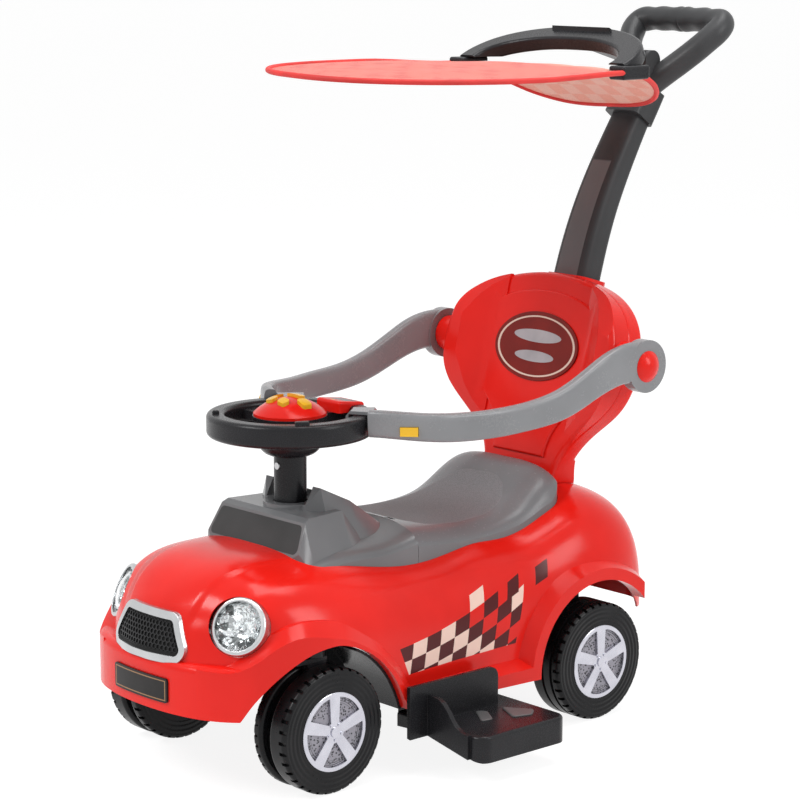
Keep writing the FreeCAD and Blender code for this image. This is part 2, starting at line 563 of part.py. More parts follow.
# Steering wheel, sleeve, dome, buttons and rear panel
sleeve_low = COLLAR_TOP - 9
hub_low = RING_Z - 18
hub_top = RING_Z + 7
sleeve = Part.makeCylinder(SLEEVE_R, hub_low - 3 - sleeve_low, column + Z * sleeve_low)
sleeve = sleeve.fuse(Part.makeCone(SLEEVE_R, HUB_R - 3, 14, column + Z * (hub_low - 14)))
screw_at = column + Vector(0, -SLEEVE_R, 330)
screw = rod(2, screw_at + Y * 12, screw_at).fuse(rod(4, screw_at + Y * 2, screw_at - Y * 1.2))
nodes["column_sleeve"] = sleeve.cut(rod(ROD_R, column, column + Z * 400)).cut(screw)
nodes["column_screw"] = screw
def ring_wall(radius):
    return Part.makeCylinder(radius, RING_UP + RING_DOWN, column + Z * (RING_Z - RING_DOWN))


ring = ring_wall(RING_R + RING_HALF_T).cut(ring_wall(RING_R - RING_HALF_T))
ring = ring.makeFillet(5.5, [e for e in ring.Edges if e.Closed])
hub = Part.makeCylinder(HUB_R, hub_top - hub_low, column + Z * hub_low)
wheel = ring.fuse(hub)
for angle in (0, 180, 90):
    spoke = box(HUB_R - 4, RING_R, -SPOKE_HALF_W, SPOKE_HALF_W, RING_Z - 7, RING_Z + 4)
    spoke.rotate(ORIGIN, Z, angle)
    wheel = wheel.fuse(spoke.translated(column))
for angle in (-125, -30):
    nub = box(RING_R - 4, RING_R + 4, -8, 8, RING_Z + RING_UP - 4, RING_Z + RING_UP + 4)
    nub = nub.makeFillet(2, nub.Edges)
    nub.rotate(ORIGIN, Z, angle)
    wheel = wheel.fuse(nub.translated(column))
wheel = wheel.cut(Part.makeCylinder(HUB_R - 4, 60, column + Z * (hub_low + 5)))
nodes["steering_wheel"] = wheel.cut(rod(ROD_R, column, column + Z * steering_top))
nodes["sound_box"] = box(-24, 24, COLUMN_Y - 22, COLUMN_Y + 22, steering_top + 0.2, steering_top + 13)

ball_r = (DOME_R ** 2 + DOME_H ** 2) / (2 * DOME_H)
ball_at = column + Z * (hub_top + 3 + DOME_H - ball_r)
above = Part.makeCylinder(DOME_R, 60, column + Z * hub_top)
dome = Part.makeSphere(ball_r, ball_at).common(above)
dome = dome.fuse(Part.makeCylinder(DOME_R, 3, column + Z * hub_top))
dome = dome.cut(Part.makeSphere(ball_r - 3, ball_at).common(above))
dome = dome.cut(Part.makeCylinder(DOME_R - 6, 4, column + Z * (hub_top - 1)))
BUTTONS = {"left": (24.5, 1, 6.5, 6.5), "right": (-24.5, 1, 6.5, 6.5), "front_left": (10, -17.5, 6, 5),
           "front_right": (-10, -17.5, 6, 5), "centre": (0, 9, 12, 4.5)}
BUTTON_PROUD = 3.5


def button_block(name, grow):
    bx, by, hx, hy = BUTTONS[name]
    block = box(-hx - grow, hx + grow, -hy - grow, hy + grow, hub_top + 6, hub_top + 40)
    return block.makeFillet(3 + grow, [e for e in block.Edges if abs(e.tangentAt(e.FirstParameter).z) > 0.9]
                            ).translated(column + Vector(bx, by, 0))


for name in BUTTONS:
    dome = dome.cut(button_block(name, 0.35))
    nodes["horn_button_" + name] = button_block(name, 0).common(Part.makeSphere(ball_r + BUTTON_PROUD, ball_at))
nodes["horn_dome"] = dome
panel_at = column + Vector(0, 79, RING_Z)
panel = prism([(-21, -24, 4), (-21, 14, 4), (-21, 14, RING_UP + 2), (-21, -24, RING_UP + 7)], X * 42)
panel = panel.makeFillet(3.5, [e for e in panel.Edges if e.BoundBox.ZMax > 5])
nodes["control_panel"] = panel.translated(panel_at).cut(wheel)

# Backrest: two half shells leaning back, badge, screws
REST_OUTLINE = [(55, 206), (57, 250), (65, 288), (93, 327), (129, 363), (142, 396), (142, 430), (131, 464),
                (105, 490), (58, 507)]


def rest_block(t0, t1, scale=1.0, low=0.0):
    right = [(x * scale, REST_Z + (z - REST_Z) * scale) for x, z in REST_OUTLINE if z >= low]
    loop = [Vector(x, REST_Y + t0, z) for x, z in right]
    loop.append(Vector(0, REST_Y + t0, REST_Z + 94 * scale))
    loop += [Vector(-x, REST_Y + t0, z) for x, z in reversed(right)]
    edge = open_spline(loop).toShape()
    face = Part.Face(Part.Wire([edge, Part.makeLine(loop[-1], loop[0])]))
    return face.extrude(Y * (t1 - t0))


def leaned(shape):
    turned = shape.copy()
    turned.rotate(Vector(0, REST_Y, REST_Z), X, -REST_LEAN)
    return turned


def rounded(shape, y, radius):
    rim = [e for e in shape.Edges if e.BoundBox.YMax - e.BoundBox.YMin < 0.1 and abs(e.BoundBox.YMin - y) < 0.1]
    return shape.makeFillet(radius, rim)


rest_front = rounded(rest_block(0, REST_FRONT_T), REST_Y, 8)
raised = rounded(rest_block(-4, 4, 0.76, 250), REST_Y - 4, 3)
WING_DEEP = 26.0
WING_PLAN = [(70, 4), (70, -2), (90, -9), (117, -WING_DEEP), (160, -WING_DEEP), (160, 4)]
WING_SIDE = [(4, 312), (-0.62 * WING_DEEP, 362), (-WING_DEEP, 398), (-WING_DEEP, 446), (-0.62 * WING_DEEP, 474),
             (4, 512)]
wing = rounded(rest_block(-WING_DEEP, 6), REST_Y - WING_DEEP, 8)
wing = wing.common(prism([(x, REST_Y + y, 200) for x, y in WING_PLAN], Z * 400))
wing = wing.common(prism([(0, REST_Y + y, z) for y, z in WING_SIDE], X * 200))
rest_front = rest_front.fuse(raised).fuse(pair(wing))
rest_rear = rounded(rest_block(REST_FRONT_T + 0.1, REST_FRONT_T + REST_REAR_T), REST_Y + REST_FRONT_T + REST_REAR_T, 6)
STEM_BACK = [(REST_FRONT_T + 4, 150), (46, 150), (46, 262), (REST_FRONT_T + REST_REAR_T - 1, 294),
             (REST_FRONT_T + 4, 294)]
stem_back = rounded(rest_block(REST_FRONT_T + 4, 46), REST_Y + 46, 6).common(
    prism([(-100, REST_Y + y, z) for y, z in STEM_BACK], X * 200))
rest_rear = rest_rear.fuse(stem_back)
oval = Part.Face(Part.Wire(Part.Ellipse(Vector(0, 0, 0), 70, 42).toShape())).extrude(Z * 2)
oval.rotate(ORIGIN, X, 90)
badge = oval.translated(Vector(0, REST_Y - 4, REST_Z + 2))
screws = []
for x, z in ((SPINE_HALF_W + 8, 303), (-SPINE_HALF_W - 8, 303), (95, 440), (-95, 440)):
    at = Vector(x, REST_Y + REST_FRONT_T + REST_REAR_T, z)
    screws.append(rod(2, at - Y * 22, at).fuse(rod(4, at - Y * 2, at + Y * 1.5)))
screws = Part.makeCompound(screws)
rest_front = leaned(rest_front.cut(screws))
rest_rear = leaned(rest_rear.cut(screws))
nodes["backrest_badge"] = leaned(badge)
nodes["backrest_screws"] = leaned(screws)

# Pole, collar, handle
POLE = [(0, 302, 428), (0, 320, 497), (0, 351, 582), (0, 389, 652), (0, 423, 706)]
POLE_SIZES = [(56, 42), (54, 40), (50, 36), (45, 31)]
pole = sweep(POLE, POLE_SIZES, X)
pole_space = sweep(POLE, [(w + 0.6, d + 0.6) for w, d in POLE_SIZES], X)
socket = sweep([(0, 300, 418), (0, 308, 452), (0, 321, 500)], [(68, 56), (67, 54), (66, 52)], X, 8)
rest_half = leaned(box(-200, 200, REST_Y - 60, REST_Y + REST_FRONT_T + 0.1, 100, 700))
spine_y = REST_Y + REST_FRONT_T + REST_REAR_T
spine = prism([(-SPINE_HALF_W, spine_y - 4, 206), (-SPINE_HALF_W, spine_y + SPINE_DEEP, 206),
               (-SPINE_HALF_W, spine_y + SPINE_DEEP, 290), (-SPINE_HALF_W, spine_y + SPINE_DEEP / 2, 355),
               (-SPINE_HALF_W, spine_y - 4, 420)], X * (2 * SPINE_HALF_W))
spine = leaned(spine.makeFillet(9, [e for e in spine.Edges if abs(e.tangentAt(e.FirstParameter).x) < 0.5
                                    and e.BoundBox.YMax > spine_y + 1 and e.BoundBox.ZMax > 207]))
rest_rear = rest_rear.fuse(socket.cut(rest_half)).fuse(spine)
rest_low = body_loft(-GAP)
pivot = Vector(0, PIVOT_Y, PIVOT_Z)
boss_pin = rod(PIVOT_R, pivot + X * 112, pivot + X * 200)
boss_rest = Part.makeCone(BOSS_ROOT_R, 22, ARM_IN - 1 - BOSS_ROOT, pivot + X * BOSS_ROOT, X).cut(rest_rear)
rest_front = rest_front.fuse(pair(boss_rest)).cut(pair(boss_pin)).cut(pole_space)
rest_rear = rest_rear.cut(pair(boss_pin)).cut(pole_space)
nodes["backrest_front"] = rest_front.cut(rest_low)
nodes["backrest_rear"] = rest_rear.cut(rest_low)
nodes["push_pole"] = pole

COLLAR_PATH = [(0, 408, 690), (0, 420, 708), (0, 431, 725)]
collar = sweep(COLLAR_PATH, [(56, 40), (54, 40)], X, 6, 6.0)
lug_plate = box(14.5, 21, TILT_Y - 13, TILT_Y + 10, 712, TILT_Z).fuse(
    Part.makeCylinder(13, 6.5, Vector(14.5, TILT_Y, TILT_Z), X))
collar = collar.fuse(pair(lug_plate).cut(box(-60, 60, 300, 480, 600, 700)))
tilt_pin = rod(4, Vector(-21, TILT_Y, TILT_Z), Vector(21, TILT_Y, TILT_Z))
HANDLE = [(10, 432, 728), (40, 454, 757), (66, 482, 788), (69, 500, 804), (45, 506, 808), (0, 507, 808)]
loop = HANDLE + [(-x, y, z) for x, y, z in reversed(HANDLE[:-1])]
handle = pair(sweep(loop, [(30, 29), (29, 28), (30, 29)], Vector(0, 0.72, -0.69), 15, 2.3, 0.5))
stem = sweep([(0, 424, 713), (0, 434, 728), (0, 444, 741)], [(41, 32), (36, 30)], X, 5, 3.0)
handle = handle.fuse(stem).cut(pair(lug_plate)).cut(tilt_pin)
collar = collar.cut(handle).cut(pole)
hub_space = rod(13.6, Vector(-14, TILT_Y, TILT_Z), Vector(14, TILT_Y, TILT_Z))
nodes["pole_collar"] = collar.cut(hub_space).fuse(tilt_pin)
nodes["handle_grip"] = handle.cut(hub_space)

# Canopy: bracket tilting on the collar pin, clips, hoop and one sheet
CANOPY_FRONT = -122.0
CANOPY_REAR = 376.0
CANOPY_HALF_W = 154.0
CANOPY_RISE = 5.0
CANOPY_DROOP = 50.0
SHEET_T = 1.4


def canopy_height(y):
    if y < CLIP_Y:
        return CANOPY_Z + CANOPY_RISE * (CLIP_Y - y) / (CLIP_Y - CANOPY_FRONT)
    return CANOPY_Z - CANOPY_DROOP * ((y - CLIP_Y) / (CANOPY_REAR - CLIP_Y)) ** 1.6


def canopy_outline(inset, count=32):
    """Closed plan curve from the front tip round the left side to the rear and back."""
    mid = (CANOPY_FRONT + CANOPY_REAR) / 2
    half_l = (CANOPY_REAR - CANOPY_FRONT) / 2 - inset
    ring = []
    for k in range(count):
        a = 2 * math.pi * k / count
        y = mid - half_l * power(math.cos(a), 2 / 2.4)
        ring.append(Vector((CANOPY_HALF_W - inset) * power(math.sin(a), 2 / 2.4), y, 0))
    curve = Part.BSplineCurve()
    curve.interpolate(ring, PeriodicFlag=True)
    return curve


def plan_block(inset):
    return Part.Face(Part.Wire(canopy_outline(inset).toShape())).extrude(Z * 900)


def sheet_strip(half_t):
    ys = [CANOPY_FRONT - 5 + (CANOPY_REAR - CANOPY_FRONT + 10) * k / 14 for k in range(15)]
    low = [Vector(-200, y, canopy_height(y) - half_t) for y in ys]
    high = [Vector(-200, y, canopy_height(y) + half_t) for y in ys]
    edges = [open_spline(low).toShape(), Part.makeLine(low[-1], high[-1]),
             open_spline(high[::-1]).toShape(), Part.makeLine(high[0], low[0])]
    return Part.Face(Part.Wire(edges)).extrude(X * 400)


def hoop_ring(grow):
    """Sprung hoop in its binding: a narrow band round the sheet's edge."""
    band = plan_block(-grow).cut(plan_block(2 * HOOP_R + grow))
    return sheet_strip(HOOP_R + grow).common(band)


hoop = hoop_ring(0)
sheet = sheet_strip(SHEET_T / 2).common(plan_block(2 * HOOP_R + 0.2))
clip = box(CLIP_X - 14, CLIP_X + 11, CLIP_Y - 22, CLIP_Y + 22, CANOPY_Z - 8, CANOPY_Z + 8)
clip = clip.makeFillet(3, clip.Edges).cut(hoop_ring(0.05)).cut(
    box(0, CLIP_X + 4, CLIP_Y - 40, CLIP_Y + 40, CANOPY_Z - 2.5, CANOPY_Z + 2.5))
ARCH_OUTER = [(139, -14), (138, 8), (127, 32), (94, 58), (50, 72)]
ARCH_INNER = [(113, -14), (111, 4), (99, 19), (71, 34), (38, 42)]
ARCH_TOP = 77.0
ARCH_OPEN = 44.0
ARCH_LEAN = 24.0
ARCH_T = 18.0


def arch_edge(half, top):
    ring = half + [(0, top)] + [(-x, v) for x, v in reversed(half)]
    return [Vector(x, v, 0) for x, v in ring]


arch_out = arch_edge(ARCH_OUTER, ARCH_TOP)
arch_in = arch_edge(ARCH_INNER, ARCH_OPEN)[::-1]
arch_loop = [open_spline(arch_out).toShape(), Part.makeLine(arch_out[-1], arch_in[0]),
             open_spline(arch_in).toShape(), Part.makeLine(arch_in[-1], arch_out[0])]
arch = Part.Face(Part.Wire(arch_loop)).extrude(Z * ARCH_T)
arch = arch.makeFillet(4, [e for e in arch.Edges if abs(e.tangentAt(e.FirstParameter).z) < 0.1 and e.Length > 40])
arch.translate(Z * (-ARCH_T / 2))
arch.rotate(ORIGIN, X, ARCH_LEAN)
arch.translate(Vector(0, CLIP_Y + 4, CANOPY_Z + 8))
arch = arch.common(box(-300, 300, 0, 900, CANOPY_Z + 8.2, 1200))
web_front = Part.makePolygon([Vector(-48, 322, 791), Vector(48, 322, 791), Vector(48, 322, 804),
                              Vector(-48, 322, 804), Vector(-48, 322, 791)])
web_y = TILT_Y - 17
web_back = Part.makePolygon([Vector(-13.6, web_y, TILT_Z - 3), Vector(13.6, web_y, TILT_Z - 3),
                             Vector(13.6, web_y, TILT_Z + 13), Vector(-13.6, web_y, TILT_Z + 13),
                             Vector(-13.6, web_y, TILT_Z - 3)])
web = Part.makeLoft([web_front, web_back], True, True)
web = web.fuse(box(-13.6, 13.6, web_y - 1, TILT_Y, TILT_Z - 3, TILT_Z + 12))
tilt_hub = rod(13, Vector(-13.6, TILT_Y, TILT_Z), Vector(13.6, TILT_Y, TILT_Z))
arch = arch.fuse(web).fuse(tilt_hub).cut(rod(4 + RUN_FIT, Vector(-30, TILT_Y, TILT_Z), Vector(30, TILT_Y, TILT_Z)))
nodes["canopy_bracket"] = arch
nodes["canopy_hoop"] = hoop
nodes["canopy_fabric"] = sheet.cut(pair(clip))

# Guard arms: hub on the backrest pivot, bar curving in to a saddle over the steering ring
ARM_MID = ARM_IN + ARM_T / 2
ARM_PATH = [(ARM_MID, PIVOT_Y, PIVOT_Z + 2), (ARM_MID + 1, 214, 423), (ARM_MID + 1, 166, 406), (ARM_MID, 124, 390),
            (ARM_MID - 4, 80, 382), (163, 36, 379), (150, -13, 378), (132, -56, 381), (109, -78, 383),
            (88, -90, RING_Z + 4)]
arm = sweep(ARM_PATH, [(50, ARM_T), (37, ARM_T), (32, ARM_T), (32, ARM_T), (30, ARM_T)], Z, 18)
arm = arm.fuse(rod(HUB_ARM_R, pivot + X * ARM_IN, pivot + X * (ARM_IN + ARM_T)))
SADDLE_FROM = 30.0
SADDLE_TURN = 19.0
SADDLE_FIT = 0.8
SADDLE_SIDE = 3.0
SADDLE_WALL = 3.5
CAP_R = 18.5
saddle_half = RING_HALF_T + SADDLE_SIDE + SADDLE_WALL
saddle_top = RING_UP + SADDLE_FIT + SADDLE_WALL
saddle_ring = [(-saddle_half, -6), (saddle_half, -6), (saddle_half, saddle_top - 6), (saddle_half - 5, saddle_top),
               (5 - saddle_half, saddle_top), (-saddle_half, saddle_top - 6), (-saddle_half, -6)]
saddle_face = Part.Face(Part.makePolygon([Vector(RING_R + r, COLUMN_Y, RING_Z + z) for r, z in saddle_ring]))
saddle_face.rotate(column, Z, SADDLE_FROM)
saddle = saddle_face.revolve(column, Z, SADDLE_TURN)
channel_low = column + Z * (RING_Z - 60)
channel_h = 60 + RING_UP + SADDLE_FIT
channel = Part.makeCylinder(RING_R + RING_HALF_T + SADDLE_SIDE, channel_h, channel_low).cut(
    Part.makeCylinder(RING_R - RING_HALF_T - SADDLE_SIDE, channel_h, channel_low))
arm = arm.fuse(saddle).cut(channel)
arm = arm.cut(rod(PIVOT_R + RUN_FIT, pivot, pivot + X * 300))
arm = arm.cut(rod(CAP_R + GAP, pivot + X * (ARM_IN + ARM_T), pivot + X * 300))
push_at = Vector(124, -64, 377)
PUSH_TURN = math.radians(-47)
push_out = Vector(math.cos(PUSH_TURN), math.sin(PUSH_TURN), 0)


def push_block(half_l, half_h, depth_in, depth_out):
    block = box(-half_l, half_l, -depth_in, depth_out, -half_h, half_h)
    block.rotate(ORIGIN, Z, math.degrees(math.atan2(-push_out.x, push_out.y)))
    return block.translated(push_at)


nodes_arm = arm.cut(push_block(10.4, 5.4, 2, 30))
push = push_block(10, 5, -1, 10.5)
cap = Part.makeSphere(24, pivot + X * (ARM_IN + ARM_T + 9 - 24)).common(
    rod(CAP_R, pivot + X * (ARM_IN + ARM_T + GAP), pivot + X * 220))
cap = cap.fuse(rod(PIVOT_R, pivot + X * 113, pivot + X * (ARM_IN + ARM_T + 1)))

# Footrest: tray outside the sill, its post going up to the chassis
tray = box(112, FOOT_OUT, -72, 62, FOOT_LOW, FOOT_TOP)
tray = tray.makeFillet(16, [e for e in tray.Edges if abs(e.tangentAt(e.FirstParameter).z) > 0.9
                            and e.BoundBox.XMin > 200])
tray = tray.makeFillet(4, [e for e in tray.Edges if e.BoundBox.ZMin > FOOT_TOP - 1 and e.BoundBox.XMax > 150])
tray_hollow = box(116, FOOT_OUT - 4, -68, 58, 0, FOOT_TOP - 5)
tray_hollow = tray_hollow.makeFillet(12, [e for e in tray_hollow.Edges if abs(e.tangentAt(e.FirstParameter).z) > 0.9
                                          and e.BoundBox.XMin > 200])
tray = tray.cut(tray_hollow)
wall_x = LIP_OUT + 1
foot_wall = box(wall_x, wall_x + 5, -102, 32, FOOT_LOW + 6, SILL_Z + 30)
foot_wall = foot_wall.makeFillet(12, [e for e in foot_wall.Edges if abs(e.tangentAt(e.FirstParameter).x) > 0.9
                                      and e.BoundBox.ZMin > SILL_Z and e.BoundBox.YMin > 0])
GUSSET = [(-85, 33), (-66, 31), (-58, 27), (-50, 19), (-44, 11), (-37, 5), (-28, 1), (-18, 0)]
gusset = prism([(wall_x, -76, FOOT_TOP + GUSSET[0][1]), (wall_x, -76, FOOT_LOW), (FOOT_OUT - 18, -76, FOOT_LOW)]
               + [(FOOT_OUT + x, -76, FOOT_TOP + z) for x, z in reversed(GUSSET)], Y * 6)
post = box(84, 112, -46, 24, FOOT_LOW + 16, FOOT_TOP).fuse(box(84, 100, -46, 24, FOOT_LOW + 16, CHASSIS_Z))
under = prism([(100, -200, 0), (100, -200, FOOT_LOW + 12), (wall_x, -200, FOOT_LOW + 16),
               (FOOT_OUT - 4, -200, FOOT_LOW), (FOOT_OUT - 4, -200, 0)], Y * 400)
tray = tray.fuse(foot_wall).fuse(gusset).cut(under).fuse(post)

for side, turn in (("left", None), ("right", mirrored)):
    for name, shape in (("guard_arm_", nodes_arm), ("arm_button_", push), ("arm_cap_", cap),
                        ("canopy_clip_", clip), ("footrest_", tray)):
        nodes[name + side] = turn(shape) if turn else shape

stem_space = leaned(rest_block(-0.3, REST_FRONT_T + REST_REAR_T + 0.3))
nodes["body_shell"] = max(body.Solids, key=lambda p: p.Volume)
nodes["seat_lid"] = nodes["seat_lid"].cut(stem_space)

spans = [shape.optimalBoundingBox() for shape in nodes.values()]
shift = -(min(s.YMin for s in spans) + max(s.YMax for s in spans)) / 2
for name, shape in nodes.items():
    solids = shape.Solids
    whole = solids[0] if len(solids) == 1 else Part.makeCompound(solids)
    whole.translated(Vector(0, shift, 0)).exportStep("parts/" + name + ".step")
print("shift", shift)
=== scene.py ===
import bpy
import json
import math
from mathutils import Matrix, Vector
from mathutils.bvhtree import BVHTree


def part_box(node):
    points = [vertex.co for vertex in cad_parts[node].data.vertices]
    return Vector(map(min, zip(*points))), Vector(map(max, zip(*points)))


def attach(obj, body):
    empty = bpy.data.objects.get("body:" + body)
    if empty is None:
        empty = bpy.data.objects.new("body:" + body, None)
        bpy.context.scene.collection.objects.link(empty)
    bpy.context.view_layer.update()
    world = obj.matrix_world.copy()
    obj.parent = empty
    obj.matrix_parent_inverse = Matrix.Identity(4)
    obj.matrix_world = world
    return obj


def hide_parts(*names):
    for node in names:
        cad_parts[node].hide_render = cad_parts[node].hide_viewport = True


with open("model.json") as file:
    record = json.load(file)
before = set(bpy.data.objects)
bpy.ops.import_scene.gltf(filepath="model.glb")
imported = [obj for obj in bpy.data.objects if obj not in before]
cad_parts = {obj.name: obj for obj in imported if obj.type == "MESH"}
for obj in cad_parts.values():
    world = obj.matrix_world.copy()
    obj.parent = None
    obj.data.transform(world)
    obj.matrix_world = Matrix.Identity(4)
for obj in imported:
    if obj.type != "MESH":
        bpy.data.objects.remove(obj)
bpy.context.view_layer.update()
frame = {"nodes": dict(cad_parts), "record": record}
NODES = frame["nodes"]

bl_info = {
    "name": "Push car dressing",
    "version": (1, 0, 0),
    "blender": (4, 5, 0),
    "location": "3D View > Sidebar > Push car",
    "description": "Dresses the push car's solids with mouldings, cloth, lamps and finishes",
    "category": "Object",
}

WHEELBASE = 0.410
axle_low, axle_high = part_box("front_axle_left")
MID_Y = (axle_low.y + axle_high.y) / 2 + WHEELBASE / 2
SIDES = (("left", 1), ("right", -1))
UP = Vector((0, 0, 1))


def place(x, y, z):
    """A point given in mm from the middle of the wheelbase, in the frame's metres."""
    return Vector((x / 1000, y / 1000 + MID_Y, z / 1000))


# Sizes and colours that a user may change.


class CarColours(bpy.types.PropertyGroup):
    red: bpy.props.FloatVectorProperty(name="Body red", description="Colour of the red mouldings", subtype="COLOR",
                                       default=(0.82, 0.013, 0.007), min=0, max=1)
    grey: bpy.props.FloatVectorProperty(name="Seat grey", description="Colour of seat, cowl and arms", subtype="COLOR",
                                        default=(0.175, 0.178, 0.185), min=0, max=1)
    charcoal: bpy.props.FloatVectorProperty(name="Pole charcoal", description="Colour of pole and handle",
                                            subtype="COLOR", default=(0.045, 0.046, 0.048), min=0, max=1)
    black: bpy.props.FloatVectorProperty(name="Black plastic", description="Colour of the black mouldings",
                                         subtype="COLOR", default=(0.014, 0.014, 0.016), min=0, max=1)
    yellow: bpy.props.FloatVectorProperty(name="Button yellow", description="Colour of the push buttons",
                                          subtype="COLOR", default=(0.90, 0.52, 0.02), min=0, max=1)
    cloth: bpy.props.FloatVectorProperty(name="Canopy red", description="Colour of the canopy cloth", subtype="COLOR",
                                         default=(0.72, 0.115, 0.075), min=0, max=1)
    dark_check: bpy.props.FloatVectorProperty(name="Dark check", description="Dark cells of the side chequer",
                                              subtype="COLOR", default=(0.085, 0.004, 0.005), min=0, max=1)
    pale_check: bpy.props.FloatVectorProperty(name="Pale check", description="Pale cells of the side chequer",
                                              subtype="COLOR", default=(0.93, 0.66, 0.56), min=0, max=1)


class CarSizes(bpy.types.PropertyGroup):
    cell_long: bpy.props.FloatProperty(name="Check length", description="Length of a cell of the side chequer",
                                       default=0.0215, unit="LENGTH")
    cell_high: bpy.props.FloatProperty(name="Check height", description="Height of a cell of the side chequer",
                                       default=0.017, unit="LENGTH")
    cloth_crown: bpy.props.FloatProperty(name="Cloth crown", description="Rise of the cloth between its edges",
                                         default=0.007, unit="LENGTH")
    cloth_thick: bpy.props.FloatProperty(name="Cloth thickness", description="Thickness of the canopy cloth",
                                         default=0.0007, unit="LENGTH")
    hem: bpy.props.FloatProperty(name="Binding radius", description="Radius of the binding round the hoop",
                                 default=0.0032, unit="LENGTH")
    mesh_cell: bpy.props.FloatProperty(name="Grille cell", description="Pitch of the grille's honeycomb",
                                       default=0.0056, unit="LENGTH")


def colours():
    return bpy.context.scene.car_colours


def sizes():
    return bpy.context.scene.car_sizes


# Shader maths.


class Number:
    """A number socket of a shader tree. Arithmetic on it adds Math nodes."""

    def __init__(self, finish, socket):
        self.finish = finish
        self.socket = socket

    def math(self, operation, *others):
        return self.finish.node("ShaderNodeMath", {"operation": operation}, [self, *others])

    def __add__(self, other):
        return self.math("ADD", other)

    __radd__ = __add__

    def __mul__(self, other):
        return self.math("MULTIPLY", other)

    __rmul__ = __mul__

    def __sub__(self, other):
        return self.math("SUBTRACT", other)

    def __rsub__(self, other):
        return self.finish.node("ShaderNodeMath", {"operation": "SUBTRACT"}, [other, self])

    def __truediv__(self, other):
        return self.math("DIVIDE", other)

    def __gt__(self, other):
        return self.math("GREATER_THAN", other)

    def __lt__(self, other):
        return self.math("LESS_THAN", other)

    def __abs__(self):
        return self.math("ABSOLUTE")

    def floor(self):
        return self.math("FLOOR")

    def sin(self):
        return self.math("SINE")

    def power(self, exponent):
        return self.math("POWER", exponent)

    def mod(self, base):
        return self.math("FLOORED_MODULO", base)

    def equals(self, value):
        """1 where a whole number has the value, else 0."""
        return self.math("COMPARE", value, 0.1)

    def smooth(self, low, high):
        """0 below low, 1 above high, eased between."""
        return self.finish.node("ShaderNodeMapRange", {"interpolation_type": "SMOOTHSTEP"},
                                {"Value": self, "From Min": low, "From Max": high})


class Finish:
    """One procedural material built on a Principled shader."""

    def __init__(self, name, **constants):
        self.material = bpy.data.materials.new(name)
        self.material.use_nodes = True
        self.tree = self.material.node_tree
        self.shader = self.tree.nodes["Principled BSDF"]
        for key, value in constants.items():
            self.shader.inputs[key.replace("_", " ")].default_value = value
        self.point = self.node("ShaderNodeTexCoord", {}, {}, "Object")
        self.x, self.y, self.z = [self.node("ShaderNodeSeparateXYZ", {}, [self.point], k) for k in "XYZ"]

    def node(self, kind, settings, inputs, out=0):
        made = self.tree.nodes.new(kind)
        for key, value in settings.items():
            setattr(made, key, value)
        pairs = inputs.items() if isinstance(inputs, dict) else enumerate(inputs)
        for key, value in pairs:
            if isinstance(value, Number):
                self.tree.links.new(value.socket, made.inputs[key])
            else:
                made.inputs[key].default_value = value
        return Number(self, made.outputs[out])

    def noise(self, scale, detail=2.0, vector=None):
        return self.node("ShaderNodeTexNoise", {}, {"Vector": vector or self.point, "Scale": scale, "Detail": detail})

    def cells(self, scale, out="Distance"):
        return self.node("ShaderNodeTexVoronoi", {}, {"Vector": self.point, "Scale": scale}, out)

    def mix(self, share, first, second):
        def shade(value):
            return value if isinstance(value, Number) else (*value[:3], 1.0)
        return self.node("ShaderNodeMix", {"data_type": "RGBA"}, {0: share, 6: shade(first), 7: shade(second)}, 2)

    def feed(self, **links):
        for key, value in links.items():
            self.tree.links.new(value.socket, self.shader.inputs[key.replace("_", " ")])
        return self

    def base(self):
        """The colour that feeds the shader so far."""
        return Number(self, self.shader.inputs["Base Color"].links[0].from_socket)

    def relief(self, height, strength, depth, edge=0.0):
        """Surface relief, over edges rounded by the given radius where there is one."""
        inputs = {"Strength": strength, "Distance": depth, "Height": height}
        if edge:
            inputs["Normal"] = self.node("ShaderNodeBevel", {"samples": 6}, {"Radius": edge})
        return self.feed(Normal=self.node("ShaderNodeBump", {}, inputs))

    def from_axle(self, node):
        """Distance from the axis along X through the middle of a solid."""
        low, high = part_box(node)
        mid = (low + high) / 2
        return ((self.y - mid.y).power(2.0) + (self.z - mid.z).power(2.0)).power(0.5)

    def paint(self, *objects):
        for item in objects:
            item.data.materials.clear()
            item.data.materials.append(self.material)
        return self


def toned(colour, share, lift=0.0):
    """A colour made darker or lighter."""
    return [min(1.0, share * c + lift) for c in colour]


# Finishes of the car's plastics, metals, prints and cloth.

FINE_PEEL, BROAD_PEEL = 420.0, 60.0
FLOW_MARKS = 9.0


def moulded(name, colour, rough, shine=0.40):
    """Injection- or blow-moulded plastic: faint flow marks, orange peel."""
    finish = Finish(name, Specular_IOR_Level=shine)
    flow = finish.noise(FLOW_MARKS, 3.0).smooth(0.3, 0.7)
    finish.feed(Base_Color=finish.mix(flow, toned(colour, 0.93), toned(colour, 1.06, 0.002)))
    fine = finish.noise(FINE_PEEL)
    finish.feed(Roughness=(fine * 0.10 + finish.noise(30.0) * 0.12 + (rough - 0.11)))
    return finish.relief(fine + finish.noise(BROAD_PEEL, 1.0) * 0.6, 0.0625, 0.0006)


def grained(name, colour, rough, edge=0.0009, grain=900.0, **constants):
    """Spark-eroded satin plastic: fine even grain over the whole surface."""
    finish = Finish(name, **constants)
    pits = finish.cells(grain)
    drift = finish.noise(14.0, 3.0)
    finish.feed(Base_Color=finish.mix(drift.smooth(0.25, 0.75), toned(colour, 0.82), toned(colour, 1.22, 0.002)))
    finish.feed(Roughness=pits * 0.14 + drift * 0.10 + (rough - 0.12))
    return finish.relief(pits, 0.22, 0.0004, edge)


